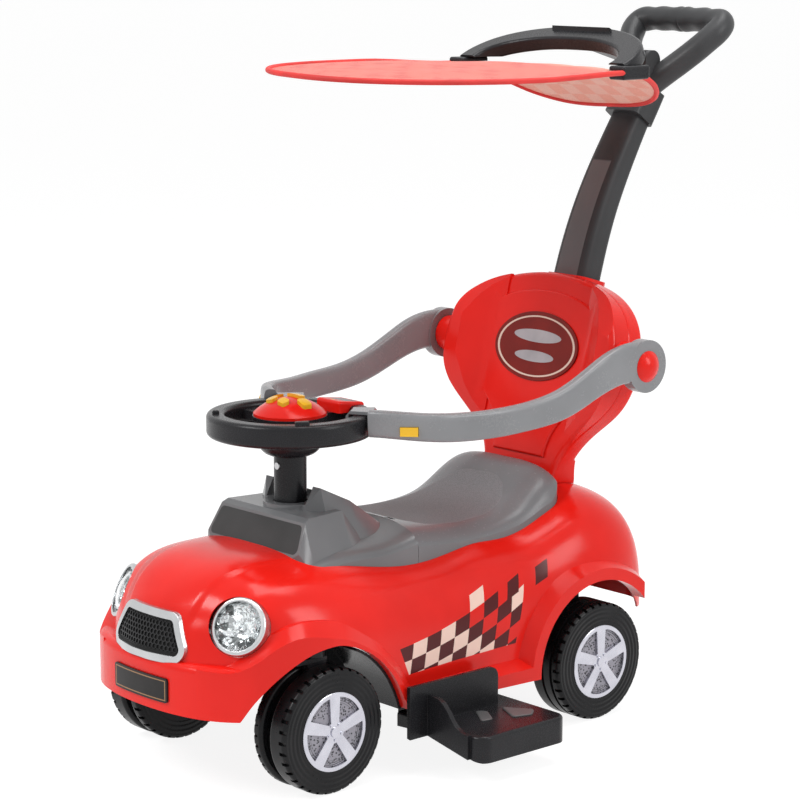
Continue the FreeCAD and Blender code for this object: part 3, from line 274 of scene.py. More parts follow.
# The side chequer: its front end in mm, then heights and lengths in metres from there, and slopes.
CHECK_START, CHECK_BASE, CHECK_LEAN = -98, 0.140, 0.18
CHECK_BOW, CHECK_CLIMB, CHECK_DROP = 1.05, 0.075, 0.001
CHECK_SIDE = 0.118
LIP_HEIGHT, LIP_CLIMB = 0.1068, 0.03
REAR_ARCH, REAR_ARCH_LEAN = 0.1495, 0.27
FRONT_ARCH, FRONT_ARCH_LEAN = 0.0595, 0.43
TOP_ROW_END = 7.0
SINGLE_COLUMN, SINGLE_ROW = 5.0, -1.0
LOOSE_CELLS = ((83, 0.177), (129, 0.187))
LOOSE_HALF, LOOSE_LEAN, LOOSE_CLIMB = 0.0088, 0.28, 0.36


def check_layout(finish):
    """Masks of the dark and the pale cells on both sides of the body."""
    along = finish.y - place(0, CHECK_START, 0).y
    high = finish.z - CHECK_BASE
    column = (along - high * CHECK_LEAN) / sizes().cell_long
    rise = along * along * CHECK_BOW + along * CHECK_CLIMB - CHECK_DROP
    row = (rise - high) / sizes().cell_high
    i, j = column.floor(), row.floor()
    odd = (i + j).mod(2.0)
    side = abs(finish.x) > CHECK_SIDE
    above_lip = (finish.z - along * LIP_CLIMB) > LIP_HEIGHT
    before_arch = (along - finish.z * REAR_ARCH_LEAN) < REAR_ARCH
    behind_arch = (along + finish.z * FRONT_ARCH_LEAN) > FRONT_ARCH
    top = 1 - ((row < 0.0) + ((row < 1.0) * (column > TOP_ROW_END))).smooth(0.0, 1.0)
    single = i.equals(SINGLE_COLUMN) * j.equals(SINGLE_ROW)
    zone = side * above_lip * before_arch * behind_arch
    dark = zone * top * (1 - odd)
    bare = (i * 2.0 + j * 3.0).mod(5.0).equals(0.0)
    pale = zone * (top * odd * (1 - bare) + single)
    for y, z in LOOSE_CELLS:
        ahead, above = finish.y - place(0, y, 0).y, finish.z - z
        inside = (abs(ahead - above * LOOSE_LEAN) < LOOSE_HALF) * (abs(above - ahead * LOOSE_CLIMB) < LOOSE_HALF)
        dark = dark + inside * side
    return dark, pale


HOOD_NOSE, CREASE_START, CREASE_SPREAD = -330, 0.058, 0.16


def body_finish():
    """Red body: printed chequer on its sides, a soft crease down each side of the hood."""
    finish = moulded("red_body", colours().red, 0.20, shine=0.24)
    dark, pale = check_layout(finish)
    checked = finish.mix(pale, finish.base(), colours().pale_check)
    finish.feed(Base_Color=finish.mix(dark, checked, colours().dark_check))
    back = finish.y - place(0, HOOD_NOSE, 0).y
    outward = abs(finish.x) - (back * CREASE_SPREAD + CREASE_START)
    hood = finish.z.smooth(0.180, 0.200) * (1 - back.smooth(0.130, 0.145))
    crease = outward.smooth(-0.010, 0.004) - outward.smooth(0.004, 0.040)
    peel = finish.noise(FINE_PEEL) * 0.02 + finish.noise(BROAD_PEEL) * 0.02
    return finish.relief(peel - crease * hood, 0.5, 0.006)


SEAT_PAD_MID, SEAT_PAD_WIDE, SEAT_PAD_LONG = 75, 0.070, 0.092


def seat_finish():
    """Grey saddle: grained middle, glossy rim."""
    finish = Finish("grey_seat", Specular_IOR_Level=0.30)
    flow = finish.noise(FLOW_MARKS, 3.0)
    across = abs(finish.x) / SEAT_PAD_WIDE
    along = (finish.y - place(0, SEAT_PAD_MID, 0).y) / SEAT_PAD_LONG
    wander = finish.noise(40.0) * 0.16
    inside = (across * across * across + along * along * abs(along) + wander).smooth(1.02, 0.96)
    pits = finish.cells(750.0)
    grey = colours().grey
    gloss = finish.mix(flow.smooth(0.3, 0.7), toned(grey, 0.92), toned(grey, 1.10))
    speck = finish.mix(pits.smooth(0.15, 0.6), toned(grey, 0.80), toned(grey, 1.25))
    finish.feed(Base_Color=finish.mix(inside, gloss, speck))
    finish.feed(Roughness=inside * 0.34 + finish.noise(300.0) * 0.08 + 0.22)
    return finish.relief(pits * inside + finish.noise(FINE_PEEL) * 0.1, 0.25, 0.0005)


# Radii on the wheels, each as the start and end of a soft step, and how dense their rings are.
TYRE_WALL_IN, TYRE_WALL_OUT, TYRE_RINGS = (0.046, 0.050), (0.064, 0.067), 1150.0
POCKET_HUB, POCKET_RIM, POCKET_RINGS = (0.0118, 0.0122), (0.0395, 0.0398), (0.031, 0.033)
POCKET_RING_DENSITY = 2600.0
POCKET_FLOOR, POCKET_TOP = 0.0042, 0.0030


def tyre_finish(node):
    """Glossy blow-moulded tyre: faint rings on the side wall, flow marks on the tread."""
    finish = Finish("tyre_" + node, Specular_IOR_Level=0.18)
    radius = finish.from_axle(node)
    rings = (radius * TYRE_RINGS).sin() * radius.smooth(*TYRE_WALL_IN) * (1 - radius.smooth(*TYRE_WALL_OUT))
    drift = finish.noise(18.0, 3.0)
    finish.feed(Base_Color=finish.mix(drift.smooth(0.3, 0.7), (0.006, 0.006, 0.007), (0.013, 0.013, 0.014)))
    finish.feed(Roughness=drift * 0.14 + finish.noise(240.0) * 0.08 + 0.18)
    return finish.relief(rings * 0.6 + drift * 0.5, 0.35, 0.0012)


def hubcap_finish(node):
    """Metallised wheel cap: bright spokes and rim over drilled pockets painted darker, painted shade in the recesses
    and holes.
    """
    low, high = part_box(node)
    finish = Finish("cap_" + node)
    radius = finish.from_axle(node)
    face = max(abs(low.x), abs(high.x))
    pocket = 1 - abs(finish.x).smooth(face - POCKET_FLOOR, face - POCKET_TOP)
    pocket = pocket * (1 - radius.smooth(*POCKET_RIM)) * radius.smooth(*POCKET_HUB)
    shaded_holes = finish.cells(330.0).smooth(0.42, 0.30)
    rings = (radius * POCKET_RING_DENSITY).sin().smooth(0.2, 0.7)
    drift = finish.noise(60.0, 3.0)
    # Painted shade: the pocket floor is darker than the plate and its holes near black, for the shade in the recesses.
    floor = finish.mix(shaded_holes, (0.30, 0.29, 0.33), (0.045, 0.045, 0.05))
    floor = finish.mix(rings * radius.smooth(*POCKET_RINGS), floor, (0.10, 0.10, 0.11))
    plate = finish.mix(drift, (0.47, 0.47, 0.53), (0.66, 0.66, 0.72))
    finish.feed(Base_Color=finish.mix(pocket, plate, floor))
    finish.feed(Metallic=pocket * -0.35 + 0.88, Roughness=pocket * 0.22 + drift * 0.12 + 0.14)
    return finish.relief(shaded_holes * pocket * -1.0 + drift * 0.2, 0.3, 0.0008)


def grille_finish(name, dark, pale, rough):
    """Black plastic of the grille: glossy webs, dull plate behind them; the plate's near-black colour is painted shade
    behind the webs.
    """
    finish = Finish(name, Specular_IOR_Level=0.25)
    drift = finish.noise(90.0)
    finish.feed(Base_Color=finish.mix(drift, dark, pale), Roughness=drift * 0.12 + rough)
    return finish.relief(finish.noise(500.0), 0.1, 0.0004)


POLE_PANEL_HALF, POLE_PANEL_TAPER = 0.0185, -0.018
POLE_PANEL_END, POLE_PANEL_FADE = 0.075, 0.072


def pole_finish():
    """Charcoal pole, its front face set back and lighter."""
    finish = Finish("pole_moulding", Specular_IOR_Level=0.18)
    drift = finish.noise(14.0, 3.0)
    pits = finish.cells(900.0)
    facing = finish.node("ShaderNodeSeparateXYZ", {}, [finish.node("ShaderNodeTexCoord", {}, {}, "Normal")], "Y")
    low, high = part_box("push_pole")
    half = (finish.z - low.z) * POLE_PANEL_TAPER + POLE_PANEL_HALF
    panel = (1 - facing.smooth(-0.80, -0.70)) * (1 - (abs(finish.x) - half).smooth(0.0, 0.0012))
    panel = panel * (1 - finish.z.smooth(high.z - POLE_PANEL_END, high.z - POLE_PANEL_FADE))
    dark = finish.mix(drift, toned(colours().charcoal, 0.85), toned(colours().charcoal, 1.25))
    finish.feed(Base_Color=finish.mix(panel, dark, (0.165, 0.167, 0.170)))
    finish.feed(Roughness=pits * 0.12 + drift * 0.1 + 0.32)
    return finish.relief(pits * 0.15 - panel, 0.35, 0.0012)


def silver_finish():
    """Metallised plastic with a faint drift in tone and fine scuffs."""
    finish = Finish("silver_plate")
    drift = finish.noise(40.0, 3.0)
    scuff = finish.noise(900.0)
    finish.feed(Base_Color=finish.mix(drift, (0.44, 0.45, 0.46), (0.66, 0.67, 0.68)))
    finish.feed(Metallic=drift * 0.06 + 0.90, Roughness=scuff * 0.10 + drift * 0.08 + 0.14)
    return finish.relief(scuff, 0.04, 0.0003, 0.0008)


def reflector_finish():
    """Vacuum-plated facets, each a little different in tone."""
    finish = Finish("plated_facets")
    shade = finish.node("ShaderNodeSeparateXYZ", {}, [finish.cells(130.0, "Color")], "X")
    finish.feed(Base_Color=finish.mix(shade.smooth(0.25, 0.75), (0.12, 0.13, 0.13), (0.86, 0.88, 0.89)))
    finish.feed(Metallic=shade * 0.1 + 0.88, Roughness=shade * 0.12 + 0.08)
    return finish.relief(finish.cells(120.0), 0.5, 0.002)


PANEL_MID, PANEL_TOP = -58, (0.3895, 0.3915)
SCREEN_MID, SCREEN_HALF, SCREEN_EDGE_HALF = 0.003, (0.0125, 0.0075), (0.0142, 0.0092)
LAMP_FORWARD, LAMP_RADIUS_SQUARED = 0.0125, 0.0000085


def panel_finish():
    """Red rear panel of the steering wheel: a grey display and one yellow lamp on its top."""
    finish = moulded("red_panel", colours().red, 0.24, shine=0.24)
    y = finish.y - place(0, PANEL_MID, 0).y
    top = finish.z.smooth(*PANEL_TOP)

    def oblong(half):
        return top * (abs(finish.x) < half[0]) * (abs(y - SCREEN_MID) < half[1])
    screen = oblong(SCREEN_HALF)
    frame_line = oblong(SCREEN_EDGE_HALF) - screen
    lamp = top * ((finish.x.power(2.0) + (y + LAMP_FORWARD).power(2.0)) < LAMP_RADIUS_SQUARED)
    shown = finish.mix(screen, finish.base(), (0.23, 0.24, 0.24))
    shown = finish.mix(frame_line, shown, (0.03, 0.03, 0.03))
    finish.feed(Base_Color=finish.mix(lamp, shown, colours().yellow))
    return finish.relief(lamp - screen + finish.noise(FINE_PEEL) * 0.02, 0.4, 0.0008)


PLATE_LINE_OUT, PLATE_LINE_IN = 0.0022, 0.0034


def plate_finish():
    """Bare number plate: satin black with a thin bronze line inside its edge."""
    low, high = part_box("number_plate")
    finish = Finish("plate_print", Specular_IOR_Level=0.2)
    drift = finish.noise(60.0, 3.0)
    from_side = (high.x - low.x) / 2 - abs(finish.x - (high.x + low.x) / 2)
    from_top = (high.z - low.z) / 2 - abs(finish.z - (high.z + low.z) / 2)
    inset = from_side.math("MINIMUM", from_top)
    line = (inset > PLATE_LINE_OUT) * (inset < PLATE_LINE_IN)
    ground = finish.mix(drift, (0.012, 0.011, 0.011), (0.030, 0.027, 0.026))
    finish.feed(Base_Color=finish.mix(line, ground, (0.36, 0.20, 0.10)))
    finish.feed(Roughness=drift * 0.12 + 0.26)
    return finish.relief(line + drift * 0.05, 0.3, 0.0006)


def steel_finish():
    """Zinc-plated steel, brushed across its length."""
    finish = Finish("zinc_steel")
    drawn = finish.node("ShaderNodeMapping", {}, {"Vector": finish.point, "Scale": (1.0, 6.0, 6.0)})
    brushed = finish.noise(260.0, vector=drawn)
    finish.feed(Base_Color=finish.mix(brushed, (0.45, 0.45, 0.46), (0.68, 0.68, 0.69)))
    finish.feed(Metallic=brushed * 0.1 + 0.88, Roughness=brushed * 0.2 + 0.25)
    return finish.relief(brushed, 0.05, 0.0003, 0.0004)


def lens_finish():
    """Clear headlight lens with a faint ripple."""
    finish = Finish("lens_clear", Transmission_Weight=1.0, IOR=1.30)
    ripple = finish.noise(120.0, 1.0)
    finish.feed(Base_Color=finish.mix(ripple, (0.95, 0.97, 0.98), (1.0, 1.0, 1.0)), Roughness=ripple * 0.02)
    return finish.relief(ripple, 0.03, 0.0004)


THREAD_DENSITY, CLOTH_SQUARE = 5200.0, 0.022
BACKLIT_FROM, BACKLIT_TO = 215, 275


def cloth_finish():
    """Thin woven polyester: fine plain weave, soft printed squares, painted paler towards the rear as painted light
    shining through the cloth.
    """
    finish = Finish("canopy_cloth", Sheen_Weight=0.25)
    warp = (finish.x * THREAD_DENSITY).sin()
    weft = (finish.y * THREAD_DENSITY).sin()
    weave = warp * weft * 0.5 + 0.5
    cloud = finish.noise(26.0, 3.0)
    squares = ((finish.x / CLOTH_SQUARE).floor() + (finish.y / CLOTH_SQUARE).floor()).mod(2.0)
    # Painted light: behind the clips, where the hoop turns the cloth over, it is painted paler, as light shining
    # through it.
    rear = finish.y.smooth(place(0, BACKLIT_FROM, 0).y, place(0, BACKLIT_TO, 0).y)
    dabs = squares * cloud.smooth(0.42, 0.58)
    tint = finish.mix(dabs * 0.8, colours().cloth, (0.62, 0.035, 0.022))
    # Pale colours of the rear cloth with its printed squares: painted light through the cloth.
    pale = finish.mix(squares * 0.6, (0.93, 0.36, 0.25), (0.96, 0.58, 0.47))
    finish.feed(Base_Color=finish.mix(weave * 0.10, finish.mix(rear, tint, pale), (0.95, 0.70, 0.62)))
    finish.feed(Roughness=weave * 0.15 + 0.62, Alpha=1 - (weave > 0.86) * 0.5)
    return finish.relief(weave, 0.3, 0.0004, 0.0002)


# The oval badge: half sizes of its pale line and of the two lens shapes, and how far those lie from the middle.
OVAL_HALF, OVAL_LINE = (0.0655, 0.0375), 0.90
LENS_OFF, UPPER_LENS_HALF, LOWER_LENS_HALF = 0.0125, (0.040, 0.0078), (0.033, 0.0068)


def badge_finish():
    """Printed oval: dark red ground, thin pale line inside its edge, two grey lens shapes."""
    finish = Finish("badge_print", Specular_IOR_Level=0.2)
    low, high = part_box("backrest_badge")
    mid = (low + high) / 2
    lean = (high.y - low.y) / (high.z - low.z)
    up = (finish.z - mid.z) * math.sqrt(1 + lean * lean)

    def oval(half, height):
        return (finish.x / half[0]).power(2.0) + (height / half[1]).power(2.0)
    ring = oval(OVAL_HALF, up)
    line = (ring > OVAL_LINE) * (ring < 1.0)
    lenses = (oval(UPPER_LENS_HALF, up - LENS_OFF) < 1.0) + (oval(LOWER_LENS_HALF, up + LENS_OFF) < 1.0)
    drift = finish.noise(30.0, 3.0)
    ground = finish.mix(drift, (0.13, 0.008, 0.006), (0.27, 0.018, 0.012))
    lens = finish.mix(drift, (0.30, 0.29, 0.31), (0.62, 0.60, 0.62))
    finish.feed(Base_Color=finish.mix(line, finish.mix(lenses, ground, lens), (0.80, 0.62, 0.52)))
    finish.feed(Roughness=drift * 0.1 + 0.25)
    return finish.relief(lenses, 0.25, 0.0008, 0.0006)


FINISHES = {}


def finish_for(slot):
    """The finish of a material slot, made when it is first asked for."""
    makers = {
        "red_gloss": lambda: moulded("red_moulding", colours().red, 0.22, shine=0.24),
        "grey_gloss": lambda: moulded("grey_moulding", colours().grey, 0.30),
        "dark_grey": lambda: grained("dark_grey_panel", (0.040, 0.041, 0.041), 0.34, 0.0, Specular_IOR_Level=0.25),
        "charcoal": lambda: grained("charcoal_moulding", colours().charcoal, 0.36, Specular_IOR_Level=0.22),
        "black_plastic": lambda: grained("black_moulding", colours().black, 0.26, Specular_IOR_Level=0.22),
        "silver": silver_finish,
        "reflector": reflector_finish,
        "grille_web": lambda: grille_finish("grille_web", (0.014, 0.014, 0.015), (0.030, 0.030, 0.032), 0.22),
        "tread": lambda: grained("tread_pad", (0.095, 0.096, 0.098), 0.42, 0.0, 1400.0, Specular_IOR_Level=0.3),
        "clear": lens_finish,
        "yellow": lambda: moulded("yellow_button", colours().yellow, 0.25),
        "badge_red": badge_finish,
        "steel": steel_finish,
        "red_trim": lambda: grained("red_binding", (0.70, 0.03, 0.025), 0.6, 0.0003, 1500.0),
        "red_fabric": cloth_finish,
    }
    if slot not in FINISHES:
        FINISHES[slot] = makers[slot]()
    return FINISHES[slot]


# Modelling helpers.


def clear_selection():
    if bpy.context.object and bpy.context.object.mode != "OBJECT":
        bpy.ops.object.mode_set(mode="OBJECT")
    bpy.ops.object.select_all(action="DESELECT")


def activate(piece):
    """Makes the piece active and the only one selected."""
    clear_selection()
    piece.select_set(True)
    bpy.context.view_layer.objects.active = piece


def edit(piece):
    """Opens the piece in edit mode with all of it selected."""
    activate(piece)
    bpy.ops.object.mode_set(mode="EDIT")
    bpy.ops.mesh.select_all(action="SELECT")


def apply_all(piece):
    activate(piece)
    for modifier in list(piece.modifiers):
        bpy.ops.object.modifier_apply(modifier=modifier.name)
    return piece


def smooth(piece, degrees):
    activate(piece)
    bpy.ops.object.shade_smooth_by_angle(angle=math.radians(degrees))
    return piece


def thicken(piece, thickness, offset=-1):
    """Gives a surface a wall, behind it or, with no offset, to both sides."""
    wall = piece.modifiers.new("wall", "SOLIDIFY")
    wall.thickness = thickness
    wall.offset = offset
    return apply_all(piece)


def mesh_piece(name, points, faces, edges=()):
    mesh = bpy.data.meshes.new(name)
    mesh.from_pydata([tuple(p) for p in points], edges, faces)
    piece = bpy.data.objects.new(name, mesh)
    bpy.context.scene.collection.objects.link(piece)
    return piece


def closed_tube(name, path, radius, sides=10):
    """Round tube along a closed loop of points."""
    points, faces = [], []
    count = len(path)
    for k in range(count):
        along = (path[(k + 1) % count] - path[(k - 1) % count]).normalized()
        side = along.cross(UP).normalized()
        up = side.cross(along)
        for m in range(sides):
            a = 2 * math.pi * m / sides
            points.append(path[k] + side * (radius * math.cos(a)) + up * (radius * math.sin(a)))
    for k in range(count):
        n = (k + 1) % count
        for m in range(sides):
            t = (m + 1) % sides
            faces.append((k * sides + m, k * sides + t, n * sides + t, n * sides + m))
    return mesh_piece(name, points, faces)


def spun(name, profile, centre, axis, across, steps):
    """Shell of revolution: points as radius and distance along the axis, in mm."""
    points = [centre + across * (r / 1000) + axis * (d / 1000) for r, d in profile]
    piece = mesh_piece(name, points, [], [(k, k + 1) for k in range(len(points) - 1)])
    edit(piece)
    bpy.ops.mesh.spin(steps=steps, angle=2 * math.pi, center=centre, axis=axis)
    bpy.ops.mesh.select_all(action="SELECT")
    bpy.ops.mesh.remove_doubles(threshold=0.00005)
    bpy.ops.mesh.normals_make_consistent(inside=False)
    bpy.ops.object.mode_set(mode="OBJECT")
    return piece


def dress(piece, body, slot, finish, *nodes):
    finish.paint(piece)
    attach(piece, body)
    if nodes:
        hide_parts(*nodes)
    return piece


def body_of(node):
    """Name of the body that a solid moves with."""
    for name, members in frame["record"]["behaviour"]["bodies"].items():
        if node in members:
            return name
    raise ValueError("no body holds " + node)


def slot_of(node):
    """Name of the material slot that a solid has."""
    return next(part["material_slot"] for part in frame["record"]["subparts"] if part["node"] == node)


EDGE_FROM, EDGE_SEGMENTS = 28, 3


def rounded_copy(node, name, width):
    """Copy of a solid with its edges rounded over, in the solid's place."""
    clear_selection()
    piece = NODES[node].copy()
    piece.data = NODES[node].data.copy()
    bpy.context.scene.collection.objects.link(piece)
    piece.name = piece.data.name = name
    piece.parent = None
    piece.matrix_world = NODES[node].matrix_world.copy()
    activate(piece)
    bpy.ops.object.transform_apply(location=True, rotation=True, scale=True)
    edit(piece)
    bpy.ops.mesh.remove_doubles(threshold=0.00002)
    bpy.ops.mesh.dissolve_limited(angle_limit=math.radians(0.6))
    bpy.ops.object.mode_set(mode="OBJECT")
    edge = piece.modifiers.new("edges", "BEVEL")
    edge.width = width
    edge.segments = EDGE_SEGMENTS
    edge.limit_method = "ANGLE"
    edge.angle_limit = math.radians(EDGE_FROM)
    shade = piece.modifiers.new("normals", "WEIGHTED_NORMAL")
    shade.keep_sharp = True
    smooth(piece, 40)
    apply_all(piece)
    finish = NODES[node].data.materials[0]
    piece.data.materials.clear()
    piece.data.materials.append(finish)
    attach(piece, body_of(node))
    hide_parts(node)
    return piece


# Operators, one for each group of pieces.


class CAR_OT_finishes(bpy.types.Operator):
    """Gives every solid of the car its finish"""
    bl_idname = "car.finishes"
    bl_label = "Finishes"

    def execute(self, context):
        for name, item in NODES.items():
            if name.startswith(("front_wheel", "rear_wheel")):
                tyre_finish(name).paint(item)
            elif "_hubcap_" in name:
                hubcap_finish(name).paint(item)
            else:
                finish_for(slot_of(name)).paint(item)
        # Painted light: the guard arms get the seat grey made 1.45 times lighter, a lit copy of the one grey.
        arm = moulded("lit_arm_moulding", toned(colours().grey, 1.45), 0.26)
        arm.paint(NODES["guard_arm_left"], NODES["guard_arm_right"])
        # Painted shade: the cowl gets the seat grey made a little darker, a shaded copy of the one grey.
        moulded("shaded_cowl_moulding", toned(colours().grey, 0.95), 0.22).paint(NODES["dash_cowl"])
        panel_finish().paint(NODES["control_panel"])
        plate_finish().paint(NODES["number_plate"])
        body_finish().paint(NODES["body_shell"])
        seat_finish().paint(NODES["seat_lid"])
        # Painted shade: the plate behind the webs is painted near black, darker than the black plastic, for the shade
        # behind them.
        grille_finish("shaded_grille_plate", (0.002, 0.002, 0.002), (0.006, 0.006, 0.006), 0.5).paint(NODES["grille_mesh"])
        pole_finish().paint(NODES["push_pole"])
        return {"FINISHED"}


EDGE_WIDTHS = (
    ("dash_cowl", 0.0030),
    ("guard_arm_left", 0.0030),
    ("guard_arm_right", 0.0030),
    ("footrest_left", 0.0022),
    ("footrest_right", 0.0022),
    ("canopy_bracket", 0.0020),
    ("backrest_front", 0.0040),
    ("backrest_rear", 0.0030),
)


class CAR_OT_edges(bpy.types.Operator):
    """Rounds the edges of the cowl, guard arms, footrests, canopy bracket and backrest"""
    bl_idname = "car.edges"
    bl_label = "Rounded edges"

    def execute(self, context):
        for node, width in EDGE_WIDTHS:
            rounded_copy(node, node + "_moulding", width)
        return {"FINISHED"}


BOWL_PROFILE = ((30.0, 26.0), (36.0, 24.0), (36.4, 18.0), (35.4, 12.0), (32.6, 7.0), (28.6, 3.4), (23.5, 1.0),
                (20.0, 0.2))
BOWL_FOOT, BOWL_STEPS, BOWL_WALL = (0, -133, 340), 64, 0.0018


class CAR_OT_hub_bowl(bpy.types.Operator):
    """Makes the black bowl under the steering wheel's hub"""
    bl_idname = "car.hub_bowl"
    bl_label = "Hub bowl"

    def execute(self, context):
        bowl = spun("hub_bowl", BOWL_PROFILE, place(*BOWL_FOOT), UP, Vector((1, 0, 0)), BOWL_STEPS)
        smooth(thicken(bowl, BOWL_WALL), 50)
        dress(bowl, "column", "black_plastic", finish_for("black_plastic"))
        return {"FINISHED"}


LAMP_PROFILE = ((0.2, -3.0), (2.6, -3.8), (3.8, -6.5), (4.0, -12.0), (8.5, -12.8), (13.0, -11.2), (17.5, -8.4),
                (21.5, -4.6), (24.8, -0.4), (26.6, 2.0))
LAMP_OUT, LAMP_Y, LAMP_HEIGHT = 102.5, -288, 190
LAMP_STEPS, FACET_DEPTH, LAMP_WALL = 22, -0.0007, 0.0006


class CAR_OT_lamps(bpy.types.Operator):
    """Makes the faceted reflector with its bulb behind each headlight lens"""
    bl_idname = "car.lamps"
    bl_label = "Lamp reflectors"

    def execute(self, context):
        for side, sign in SIDES:
            axis = Vector((sign * 0.40, -0.82, 0.40)).normalized()
            across = axis.cross(UP).normalized()
            centre = place(sign * LAMP_OUT, LAMP_Y, LAMP_HEIGHT)
            dish = spun("reflector_" + side, LAMP_PROFILE, centre, axis, across, LAMP_STEPS)
            edit(dish)
            bpy.ops.mesh.poke(offset=FACET_DEPTH)
            bpy.ops.object.mode_set(mode="OBJECT")
            thicken(dish, LAMP_WALL)
            dress(dish, "base", "silver", finish_for("reflector"))
        return {"FINISHED"}


# Shares of the honeycomb's pitch, and lengths in metres.
ROW_STEP, CORNER_REACH, ROW_START, WEB_SHARE = 0.866, 0.577, 0.4, 0.11
WEB_LIFT, WEB_DEPTH, WEB_WELD, PLATE_MARGIN = 0.0006, 0.0016, 0.0003, 0.0015
FEWEST_CELLS = 20


class CAR_OT_grille(bpy.types.Operator):
    """Makes the honeycomb of webs on the grille's plate"""
    bl_idname = "car.grille"
    bl_label = "Grille webs"

    def execute(self, context):
        pitch = sizes().mesh_cell
        low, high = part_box("grille_mesh")
        skin = BVHTree.FromObject(NODES["grille_mesh"], context.evaluated_depsgraph_get())
        corners = [math.radians(60 * k + 30) for k in range(6)]
        reach = pitch * CORNER_REACH
        points, faces = [], []
        for row in range(int((high.z - low.z) / (pitch * ROW_STEP)) + 2):
            for column in range(int((high.x - low.x) / pitch) + 2):
                x = low.x + pitch * (column + 0.5 * (row % 2))
                z = low.z + pitch * ROW_STEP * (row + ROW_START)
                ring = []
                for a in corners:
                    corner = Vector((x + reach * math.cos(a), low.y - 0.05, z + reach * math.sin(a)))
                    hit = skin.ray_cast(corner, Vector((0, 1, 0)))[0]
                    if hit is None or hit.y > high.y - PLATE_MARGIN:
                        break
                    ring.append(hit - Vector((0, WEB_LIFT, 0)))
                if len(ring) == len(corners):
                    faces.append(tuple(range(len(points), len(points) + len(ring))))
                    points += ring
        if len(faces) < FEWEST_CELLS:
            raise RuntimeError("the grille plate took too few cells")
        webs = mesh_piece("grille_webs", points, faces)
        edit(webs)
        bpy.ops.mesh.remove_doubles(threshold=WEB_WELD)
        bpy.ops.mesh.normals_make_consistent(inside=False)
        bpy.ops.mesh.inset(use_individual=True, thickness=pitch * WEB_SHARE)
        bpy.ops.mesh.delete(type="FACE")
        bpy.ops.object.mode_set(mode="OBJECT")
        thicken(webs, WEB_DEPTH, 0)
        dress(webs, "base", "black_plastic", finish_for("grille_web"))
        return {"FINISHED"}


TREADS = (((172, -8), (181, 2), (207, -14), (204, -29)), ((181, 24), (211, 46), (224, 31), (216, 8)))
TREAD_FOOT, TREAD_RISE = 55.1, 0.0009
TREAD_CORNER, TREAD_RIM, TREAD_DISH = 0.004, 0.0012, -0.0006


class CAR_OT_treads(bpy.types.Operator):
    """Makes the two tread pads on each footrest"""
    bl_idname = "car.treads"
    bl_label = "Footrest treads"

    def execute(self, context):
        for side, sign in SIDES:
            points, faces = [], []
            for pad in TREADS:
                faces.append(tuple(range(len(points), len(points) + len(pad))))
                points += [place(sign * x, y, TREAD_FOOT) for x, y in pad]
            pads = mesh_piece("tread_pads_" + side, points, faces)
            edit(pads)
            bpy.ops.mesh.bevel(offset=TREAD_CORNER, segments=5, affect="VERTICES")
            bpy.ops.mesh.select_all(action="SELECT")
            bpy.ops.mesh.extrude_region_move(TRANSFORM_OT_translate={"value": (0, 0, TREAD_RISE)})
            bpy.ops.mesh.inset(thickness=TREAD_RIM, depth=TREAD_DISH)
            bpy.ops.mesh.select_all(action="SELECT")
            bpy.ops.mesh.normals_make_consistent(inside=False)
            bpy.ops.object.mode_set(mode="OBJECT")
            dress(pads, "base", "dark_grey", finish_for("tread"))
        return {"FINISHED"}


# The canopy's outline and heights, in mm.
CANOPY_FRONT, CANOPY_REAR, CANOPY_HALF = -122.0, 376.0, 154.0
CANOPY_MID = (CANOPY_FRONT + CANOPY_REAR) / 2
CANOPY_HEM = 2.5
CLIP_Y, CANOPY_Z, CANOPY_RISE, CANOPY_DROOP = 265.0, 757.0, 5.0, 50.0
FRONT_SQUARE, REAR_SQUARE = 1.2, 0.35
ROLL_FRONT, ROLL_FRONT_LONG, ROLL_REAR, ROLL_REAR_LONG = 40, 105, 18, 60
ROLL_HEIGHT, WAVE_HEIGHT = 0.0048, 0.0011
CLOTH_AROUND, CLOTH_RINGS = 128, 26


def canopy_height(y):
    """Height of the hoop: a slight rise in front of the clips, a droop behind them."""
    if y < CLIP_Y:
        return CANOPY_Z + CANOPY_RISE * (CLIP_Y - y) / (CLIP_Y - CANOPY_FRONT)
    return CANOPY_Z - CANOPY_DROOP * ((y - CLIP_Y) / (CANOPY_REAR - CLIP_Y)) ** 1.3


def canopy_roll(y):
    """Sideways twist of the hoop, from -1 at the front to 1 at the rear, none at the clips."""
    if y < CLIP_Y - ROLL_FRONT:
        return max(-1.0, (y - CLIP_Y + ROLL_FRONT) / ROLL_FRONT_LONG)
    if y > CLIP_Y + ROLL_REAR:
        return min(1.0, (y - CLIP_Y - ROLL_REAR) / ROLL_REAR_LONG)
    return 0.0


def canopy_edge(angle, share):
    """Plan point on the canopy's outline, squarer at the rear, scaled by share of the radius."""
    square = FRONT_SQUARE
    if math.cos(angle) <= 0:
        square += REAR_SQUARE * min(1.0, -2 * math.cos(angle))

    def eased(value):
        return math.copysign(abs(value) ** (1 / square), value)
    half = (CANOPY_REAR - CANOPY_FRONT) / 2 - CANOPY_HEM
    x = (CANOPY_HALF - CANOPY_HEM) * eased(math.sin(angle)) * share
    return x, CANOPY_MID - half * eased(math.cos(angle)) * share


